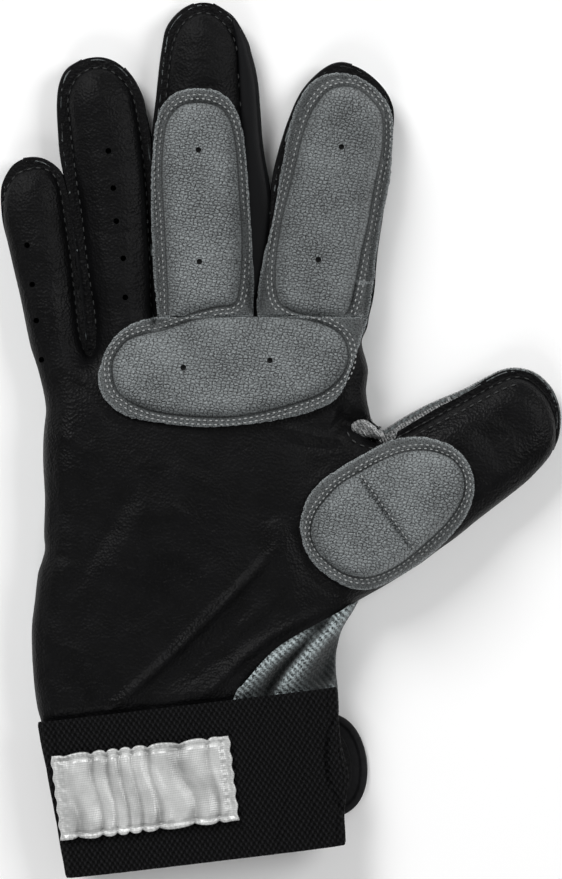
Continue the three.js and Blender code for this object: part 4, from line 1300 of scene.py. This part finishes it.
class GLOVE_OT_pads(GloveStep):
    """Lay the covers of the pads and the foam in them"""

    bl_idname = "glove.pads"
    bl_label = "Pads"

    def execute(self, context):
        for name, node, body in (
            ("middle", "middle_pad", "middle_finger"), ("index", "index_pad", "index_finger"),
            ("palm", "palm_pad", "hand"), ("thumb", "thumb_root_pad", "hand"), ("thumb", "thumb_pad", "thumb"),
        ):
            self.pad(name, node, body)
        return {"FINISHED"}

    def pad(self, name, node, body):
        """One pad, or the half of the thumb's that moves with a body: its cover and its foam."""
        front = build_front()
        ring = curve(PADS[name]["raised"], closed=True)
        outline, raised = pad_outline(name), ring
        rows = beside(ring, (0.0012, 0.0006, 0.0002, -0.0001, -0.0004, -0.0009, -0.0015, -0.0023))
        if name == "thumb":
            height = front.pad(name, self.sizes.thumb_crown, 0.0036)
            side = 1 if body == "thumb" else -1
            outline, raised = cut(outline, side), cut(raised, side)
        else:
            height = front.pad(name, self.sizes.pad_crown, 0.0034)
        if name == "index":
            left, level = INDEX_LEDGE
            step = [(x, level + y) for x in np.arange(left, 378, 1.6) for y in (-2.4, -1.1, 0, 1.1, 2.4)]
            rows = np.concatenate([rows, place(step)])
        vents = place(PADS[name]["vents"])
        cover = lay(f"{node}_cover_sheet", outline, height, 0.0009, COVER, vents, guides=rows)
        centre = raised.mean(0)
        foam = lay(
            f"{node}_foam_block", centre + (raised - centre) * 0.9,
            lambda points: height(points) - COVER - 0.0001, 0.0016, 0.0022,
        )
        settle(cover, body, "glove_cover", [f"{node}_cover"])
        plan = plan_of(cover)
        rim, tone = 1000 * front.flanges[name].at(plan), 1.0
        # Painted shade: the index pad's cover is kept at 0.84 of the others' tone, for the less light that falls on it
        if name == "index":
            (x, y), = place([INDEX_LEDGE])
            rim = np.minimum(rim, 1000 * np.abs(plan[:, 1] - y) + 10.0 * (plan[:, 0] < x))
            tone = 0.84
        mark(cover, "plan", np.column_stack([plan, np.zeros(len(plan))]))
        mark(cover, "seam", -1000 * front.pads[name].at(plan))
        mark(cover, "rim", rim)
        mark(cover, "shade", np.full(len(plan), tone))
        settle(foam, body, "glove_foam", [f"{node}_foam"])


@functools.cache
def stitch_mesh():
    """One stitch, modelled once: a short round thread, narrow at both ends; its quads and triangles in fixed order."""
    bpy.ops.object.select_all(action="DESELECT")
    bpy.ops.mesh.primitive_uv_sphere_add(segments=8, ring_count=6, radius=0.5)
    thread = bpy.context.object
    edit(bpy.ops.transform.rotate, value=math.pi / 2, orient_axis="Y", center_override=(0, 0, 0))
    vertices = np.array([v.co for v in thread.data.vertices])
    faces = sorted(tuple(polygon.vertices) for polygon in thread.data.polygons)
    bpy.data.objects.remove(thread)
    return vertices, *(np.array([face for face in faces if len(face) == corners]) for corners in (4, 3))


def sew(name, rows, height, pitch, share, shift):
    """Stitches along lines on the table, each a copy of the one stitch; the share of the pitch is its length."""
    shape, quads, triangles = stitch_mesh()
    places, directions = [], []
    for row in rows:
        steps = np.linalg.norm(np.diff(row, axis=0), axis=1)
        along = np.concatenate([[0], np.cumsum(steps)])
        count = max(1, round(along[-1] / pitch))
        at = (np.arange(count) + 0.5) * along[-1] / count
        behind, middle, ahead = (
            np.column_stack([np.interp(at + reach, along, row[:, k]) for k in (0, 1)]) for reach in (-0.0004, 0, 0.0004)
        )
        places.append(middle)
        directions.append(unit(ahead - behind))
    places, directions = np.concatenate(places), np.concatenate(directions)
    z = height(places) + THREAD * 0.18 + shift
    rise = (height(places + directions * 0.0005) - height(places - directions * 0.0005)) / 0.001
    count, size = len(places), len(shape)
    local = shape * [pitch * share, THREAD, THREAD * 0.8]
    flat = places[:, None, :] + local[None, :, :1] * directions[:, None, :]
    flat = flat + local[None, :, 1:2] * to_left(directions)[:, None, :]
    up = z[:, None] + local[None, :, 0] * rise[:, None] + local[None, :, 2]
    vertices = np.concatenate([flat, up[:, :, None]], axis=2).reshape(-1, 3)
    offsets = (np.arange(count) * size)[:, None, None]
    return mesh_of(name, vertices, [(quads[None] + offsets).reshape(-1, 4), (triangles[None] + offsets).reshape(-1, 3)])


def around(outline, gap):
    """A closed line outside an outline, about one distance from it."""
    line = outline - inward_of(outline, 2) * gap
    return np.concatenate([line, line[:1]])


def clipped(row, kept):
    """The kept parts of a row, each with more than a few points."""
    parts, current = [], []
    for point, keep in zip(row, kept):
        if keep:
            current.append(point)
        elif current:
            parts.append(np.array(current))
            current = []
    if current:
        parts.append(np.array(current))
    return [part for part in parts if len(part) > 3]


# The lines of the dark stitches on each body, and how wide every thread is
SEAM_ROWS = {
    "little_finger": [SEWN_LINE[25:41]],
    "ring_finger": [SEWN_LINE[43:68]],
    "middle_finger": [SEWN_LINE[71:90]],
    "thumb": [
        [
            (377, 441), (388, 442), (404, 434), (424, 423), (445, 412), (466, 401), (486, 390), (504, 381),
            (518, 377), (531, 380),
        ],
        [
            (346, 430), (352, 440), (366, 447), (386, 449), (404, 441), (425, 430), (446, 419), (467, 408),
            (487, 397), (505, 388), (517, 384),
        ],
    ],
}
THREAD = 0.0004


class GLOVE_OT_stitching(GloveStep):
    """Sew the seams of the fingers, the thumb and the pads"""

    bl_idname = "glove.stitching"
    bl_label = "Stitching"

    def execute(self, context):
        for body, rows in SEAM_ROWS.items():
            name = body.removesuffix("_finger")
            lines, height = [curve(row) for row in rows], build_front().leather
            thread = sew(f"{name}_seam_stitches", lines, height, self.sizes.stitch_pitch, 0.55, 0.0002)
            settle(thread, body, "glove_dark_thread")
        for pad, name, body in (
            ("middle", "middle", "middle_finger"), ("index", "index", "index_finger"), ("palm", "palm", "hand"),
            ("thumb", "thumb_root", "hand"), ("thumb", "thumb", "thumb"),
        ):
            self.pad(pad, name, body)
        return {"FINISHED"}

    def pad(self, pad, name, body):
        """Two rows round a pad, or round the part of it that moves with a body, and one across the thumb's."""
        thumb = pad == "thumb"
        cover = build_front().pad(pad, self.sizes.thumb_crown if thumb else self.sizes.pad_crown, 0.0034)
        (_, hinge), = place([(0, LONG_HINGE)])
        rows = []
        for gap in (0.0009, 0.0019) if thumb else (0.0014, 0.0025):
            row = around(curve(PADS[pad]["raised"], closed=True), gap)
            over = beyond(row) if thumb else row[:, 1] - hinge
            rows += clipped(row, over < 0 if body == "hand" else over > 0)
        if name == "thumb":
            rows.append(straight((359.5, 473.9), (414.5, 549.9), spacing=0.0005))

        def height(points):
            raised = 0.0009 * np.exp(-(divider_gap(points) / 0.0008) ** 2) if name == "thumb" else 0
            return cover(points) + raised

        thread = sew(f"{name}_pad_stitches", rows, height, self.sizes.pad_pitch, 0.52, 0.0001)
        settle(thread, body, "glove_thread")


def from_cuff(points):
    """Turns places in the cuff's own frame into the glove's frame."""
    points = np.asarray(points, float)
    c, s = math.cos(CUFF_TURN), math.sin(CUFF_TURN)
    x = points[..., 0] * c - points[..., 1] * s + CUFF_CENTRE.x
    y = points[..., 0] * s + points[..., 1] * c + CUFF_CENTRE.y
    return np.stack([x, y, points[..., 2]], axis=-1)


def cuff_half_width(y):
    """Half the cuff's width; it narrows downward."""
    return (CUFF_WIDTH - CUFF_NARROWING * (CUFF_HEIGHT / 2 - y) / CUFF_HEIGHT) / 2


def cuff_surface(angles, along, inset):
    """Places on the cuff's wall: the angle runs from the thumb side over the top."""
    across, upward = (
        np.sign(part) * np.abs(part) ** (2 / CUFF_POWER) for part in (np.cos(angles), np.sin(angles))
    )
    half = cuff_half_width(along) - inset
    return np.stack([across * half, along, CUFF_CENTRE.z + upward * (CUFF_RISE - inset)], axis=-1)


def cuff_top(x, y):
    """The height of the cuff's upper face at a place in its own frame."""
    share = np.clip(np.abs(x) / cuff_half_width(y), 0, 1)
    return CUFF_CENTRE.z + CUFF_RISE * (1 - share ** CUFF_POWER) ** (1 / CUFF_POWER)


def cuff_wall(name, first, last):
    """Part of the elastic band between two angles, with woven hems, a bulge at the side and a crease beside it."""
    angles = np.linspace(first, last, 150)
    along = np.linspace(-CUFF_HEIGHT / 2, CUFF_HEIGHT / 2, 56)
    angle, y = np.meshgrid(angles, along)
    ripple = 0.00022 * np.sin(angle * 17 + 1) * np.cos(y * 190) + 0.00016 * np.sin(angle * 41 + y * 300)
    edge = CUFF_HEIGHT / 2 - np.abs(y)
    hem = -0.00025 * np.exp(-(edge / 0.0004) ** 2)
    outer = cuff_surface(angle, y, -(ripple + hem))
    side = np.clip(np.cos(angle), 0, 1) ** 3
    outer[..., 0] += 0.0016 * side * np.exp(-((y + 0.0035) / 0.0062) ** 2)
    crease = 0.0395 - 0.0042 * np.clip(1 - (y / 0.0145) ** 2, 0, 1) - outer[..., 0]
    ends = 1 - eased(np.abs(y), 0.010, 0.0155)
    outer[..., 2] -= 0.0009 * eased(np.sin(angle), 0.0, 0.3) * np.exp(-(crease / 0.0006) ** 2) * ends
    piece = shell(name, from_cuff(outer), from_cuff(cuff_surface(angle, y, CUFF_WALL)))
    choose(piece)
    edit(bpy.ops.mesh.normals_make_consistent, inside=False)
    bpy.ops.object.shade_smooth_by_angle(angle=math.radians(50))
    return piece


class GLOVE_OT_cuff(GloveStep):
    """Make the elastic cuff and the bare satin label on it"""

    bl_idname = "glove.cuff"
    bl_label = "Cuff and label"

    def execute(self, context):
        front = cuff_wall("cuff_front_band", 0.0, math.pi)
        settle(front, "hand", "glove_elastic", ["cuff_front"])
        slit, half_slit = 0.006, 0.002
        right, left = (
            math.acos((edge / (CUFF_WIDTH / 2)) ** (CUFF_POWER / 2)) for edge in (slit + half_slit, slit - half_slit)
        )
        inner = cuff_wall("cuff_back_right_band", -right, 0.0)
        settle(inner, "hand", "glove_elastic", ["cuff_back_inner"])
        outer = cuff_wall("cuff_back_left_band", -math.pi, -left)
        settle(outer, "hand", "glove_elastic", ["cuff_back_outer"])
        self.label()
        return {"FINISHED"}

    def label(self):
        """A puckered satin rectangle with overlocked edges, sewn down near both ends and left bare."""
        width, height, centre_x, centre_y = 0.0482, 0.0228, -0.0139, 0.0005
        x = np.linspace(-width / 2, width / 2, 150)
        y = np.linspace(-height / 2, height / 2, 76)
        across, along = np.meshgrid(x, y)
        s, t = across / (width / 2), along / (height / 2)
        tucks = np.sin(across * 600 + 1.7 * np.sin(across * 200 + 1.2) + 0.45 * t + 0.3 * np.sin(along * 350))
        notched = 0.0011 * np.abs(tucks) ** 0.5 - 0.0008
        ends = eased(1 - np.abs(s), 0.06, 0.22)
        bowed = along + notched * ends * np.abs(t) ** 4 * np.sign(t)
        across = across + 0.00022 * np.sin(along * 1500) * np.abs(s) ** 9 * np.sign(s)
        edge = np.minimum(1 - np.abs(s), (1 - np.abs(t)) * height / width) * width / 2
        quilt = 0.0006 * rounded(edge - 0.0014, 0.004)
        drawn = 0.45 + 0.55 * np.abs(t) ** 1.5
        folds = ends * (
            0.0012 * (np.abs(tucks) ** 0.65 - 0.6) * drawn
            + 0.0003 * np.sin(across * 1500 + 2.2 * np.sin(along * 260) + 2 * np.sin(across * 270)) * drawn
            + 0.00018 * np.sin(across * 420 + along * 610)
        ) + (1 - ends) * 0.0002 * np.sin(along * 1100 + 1.4 * np.sin(along * 400))
        hem = edge < 0.0011
        welt = 0.0004 * np.exp(-((edge - 0.0005) / 0.0005) ** 2) + 0.00012 * np.sin((across + along) * 5200) * hem
        seam_at = 0.0217
        row = np.minimum(np.abs(np.abs(across) - seam_at), 0.01)
        sewn = 0.0005 * np.exp(-(row / 0.00035) ** 2) * (0.6 + 0.4 * np.sin(along * 3300))
        groove = -0.0004 * np.exp(-((edge - 0.0016) / 0.0004) ** 2) - sewn
        plan_x, plan_y = centre_x + across, centre_y + bowed
        z = cuff_top(plan_x, plan_y) + 0.0012 + quilt + folds * eased(edge, 0.0, 0.0025) + welt + groove
        top, bottom = (
            from_cuff(np.stack([plan_x, plan_y, level], axis=-1))
            for level in (z, cuff_top(plan_x, plan_y) + 0.00045)
        )
        label = shell("satin_label", bottom, top)
        # The kept rise: painted shade in the tucks' valleys, broad waves of tone, and the overlock's threads along the
        # long hems
        crest = 1 - ends * drawn * (1 - eased(np.abs(tucks) ** 0.65, 0.3, 0.95))
        crest += 0.3 * np.sin(across * 310 + along * 260) * ends - 0.1
        crest += 0.35 * np.sin(across * 4800 + along * 1500) * hem * (np.abs(t) > np.abs(s) * 0.9)
        mark(label, "rise", np.tile(crest.ravel(), 2))
        settle(label, "hand", "glove_satin", ["label"])


def slab(name, low, high, bevel, cuts):
    """A flat woven strip in the cuff's frame, modelled from a cube: subdivided and with rounded edges."""
    centre = (Vector(low) + Vector(high)) / 2
    size = Vector(high) - Vector(low)
    (spot,) = from_cuff([tuple(centre)])
    bpy.ops.object.select_all(action="DESELECT")
    bpy.ops.mesh.primitive_cube_add(size=1, location=tuple(spot), rotation=(0, 0, CUFF_TURN))
    piece = bpy.context.object
    piece.name = name
    piece.scale = size
    bpy.ops.object.transform_apply(location=True, rotation=True, scale=True)
    edit(bpy.ops.mesh.subdivide, number_cuts=cuts)
    soften(piece, bevel)
    return piece


def tongue(name, start, end, height, low, high, rim):
    """A plate with a straight root and a round end, modelled from a cylinder: cut, inset and raised at its rim."""
    reach = end - start
    bpy.ops.object.select_all(action="DESELECT")
    bpy.ops.mesh.primitive_cylinder_add(vertices=72, radius=1, depth=1, location=(0, 0, 0))
    piece = bpy.context.object
    piece.name = name
    edit(bpy.ops.mesh.bisect, plane_co=(0, 0, 0), plane_no=(1, 0, 0), clear_inner=True, use_fill=True)
    for vertex in piece.data.vertices:
        x, y, z = vertex.co
        vertex.co = (max(x, 0) ** 0.5 * reach, y * height / 2, z * (high - low))
    if rim:
        bpy.ops.object.mode_set(mode="EDIT")
        bpy.ops.mesh.select_mode(type="FACE")
        bpy.ops.mesh.select_all(action="DESELECT")
        bpy.ops.object.mode_set(mode="OBJECT")
        for face in piece.data.polygons:
            face.select = face.normal.z > 0.9
        bpy.ops.object.mode_set(mode="EDIT")
        bpy.ops.mesh.inset(thickness=0.0016, depth=0)
        bpy.ops.mesh.inset(thickness=0.0006, depth=-0.0004)
        bpy.ops.object.mode_set(mode="OBJECT")
    (spot,) = from_cuff([(start, 0, (low + high) / 2)])
    piece.location = spot
    piece.rotation_euler = (0, 0, CUFF_TURN)
    bpy.ops.object.transform_apply(location=True, rotation=True, scale=True)
    soften(piece, 0.0003)
    return piece


class GLOVE_OT_strap(GloveStep):
    """Make the closing strap with its root, tab, hook patch and loop patch"""

    bl_idname = "glove.strap"
    bl_label = "Closing strap"

    def execute(self, context):
        half = 0.0135
        root = slab("strap_root_fold", (-0.0365, -half, 0.0), (-0.0278, half, 0.0045), 0.0007, 6)
        settle(root, "hand", "glove_elastic", ["strap_root"])
        web = slab("strap_web_band", (-0.0272, -half, 0.0), (0.02685, half, 0.0015), 0.0005, 10)
        settle(web, "strap", "glove_elastic", ["strap_web"])
        tab = tongue("strap_tab_plate", 0.02715, 0.0463, 0.0295, 0.0, 0.0015, True)
        settle(tab, "strap", "glove_rubber", ["strap_tab"])
        hook = tongue("hook_patch_pile", 0.02715, 0.042, 0.023, 0.0018, 0.0025, False)
        settle(hook, "strap", "glove_hooks", ["hook_patch"])
        loop = slab("loop_patch_pile", (0.008, -0.0115, 0.0028), (0.034, 0.0115, 0.0041), 0.0004, 8)
        settle(loop, "hand", "glove_hooks", ["loop_patch"])
        return {"FINISHED"}


class GLOVE_OT_stage(GloveStep):
    """Set the pale table, the soft studio light and the camera over the palm"""

    bl_idname = "glove.stage"
    bl_label = "Table, light and camera"

    def execute(self, context):
        bpy.ops.object.select_all(action="DESELECT")
        bpy.ops.mesh.primitive_plane_add(size=6, location=(0, 0, -0.0001))
        table = context.object
        table.name = "table"
        finish = Finish("table_paper", 0.9)
        finish.coloured(finish.noise(3, 2), (0.93, 0.93, 0.93), (0.95, 0.95, 0.95))
        table.data.materials.append(finish.material)
        for name, spot, power in (
            ("window", (-0.9, 1.3, 1.2), 30), ("fill", (1.3, 0.5, 1.2), 16), ("low", (-0.4, -1.5, 1.2), 10),
        ):
            lamp = bpy.data.lights.new(name, "AREA")
            lamp.size = 0.9
            lamp.energy = power
            light = bpy.data.objects.new(name, lamp)
            light.location = spot
            light.rotation_euler = (-Vector(spot)).to_track_quat("-Z", "Y").to_euler()
            context.scene.collection.objects.link(light)
        world = bpy.data.worlds.new("studio")
        world.use_nodes = True
        sky = world.node_tree.nodes["Background"].inputs
        sky["Color"].default_value = (1, 1, 1, 1)
        sky["Strength"].default_value = 0.22
        context.scene.world = world
        context.scene.view_settings.view_transform = "Standard"
        height = self.sizes.camera_height
        lens = bpy.data.cameras.new("over the palm")
        lens.lens = lens.sensor_width * (height - SEAM_HEIGHT) / (DRAWN_HEIGHT * DRAWN_STEP)
        lens.clip_end = 20
        camera = bpy.data.objects.new("over the palm", lens)
        (x, y), = place([(DRAWN_WIDTH / 2, DRAWN_HEIGHT / 2)])
        camera.location = (x, y, height)
        context.scene.collection.objects.link(camera)
        context.scene.camera = camera
        return {"FINISHED"}


class GLOVE_PT_panel(bpy.types.Panel):
    """The glove's steps, sizes and colours in the sidebar"""

    bl_idname = "GLOVE_PT_panel"
    bl_label = "Protective inner glove"
    bl_space_type = "VIEW_3D"
    bl_region_type = "UI"
    bl_category = "Glove"

    def draw(self, context):
        for step in STEPS:
            self.layout.operator(step.bl_idname)
        for group in (context.scene.glove_sizes, context.scene.glove_colours):
            for name in group.__annotations__:
                self.layout.prop(group, name)


STEPS = (
    GLOVE_OT_finishes, GLOVE_OT_hand_shell, GLOVE_OT_fingers, GLOVE_OT_thumb, GLOVE_OT_pads,
    GLOVE_OT_stitching, GLOVE_OT_cuff, GLOVE_OT_strap, GLOVE_OT_stage,
)
CLASSES = (GloveColours, GloveSizes) + STEPS + (GLOVE_PT_panel,)


def register():
    for item in CLASSES:
        bpy.utils.register_class(item)
    bpy.types.Scene.glove_colours = bpy.props.PointerProperty(type=GloveColours)
    bpy.types.Scene.glove_sizes = bpy.props.PointerProperty(type=GloveSizes)


def unregister():
    del bpy.types.Scene.glove_sizes
    del bpy.types.Scene.glove_colours
    for item in reversed(CLASSES):
        bpy.utils.unregister_class(item)


def main():
    register()
    bpy.ops.glove.finishes()
    bpy.ops.glove.hand_shell()
    bpy.ops.glove.fingers()
    bpy.ops.glove.thumb()
    bpy.ops.glove.pads()
    bpy.ops.glove.stitching()
    bpy.ops.glove.cuff()
    bpy.ops.glove.strap()
    bpy.ops.glove.stage()


if __name__ == "__main__":
    main()
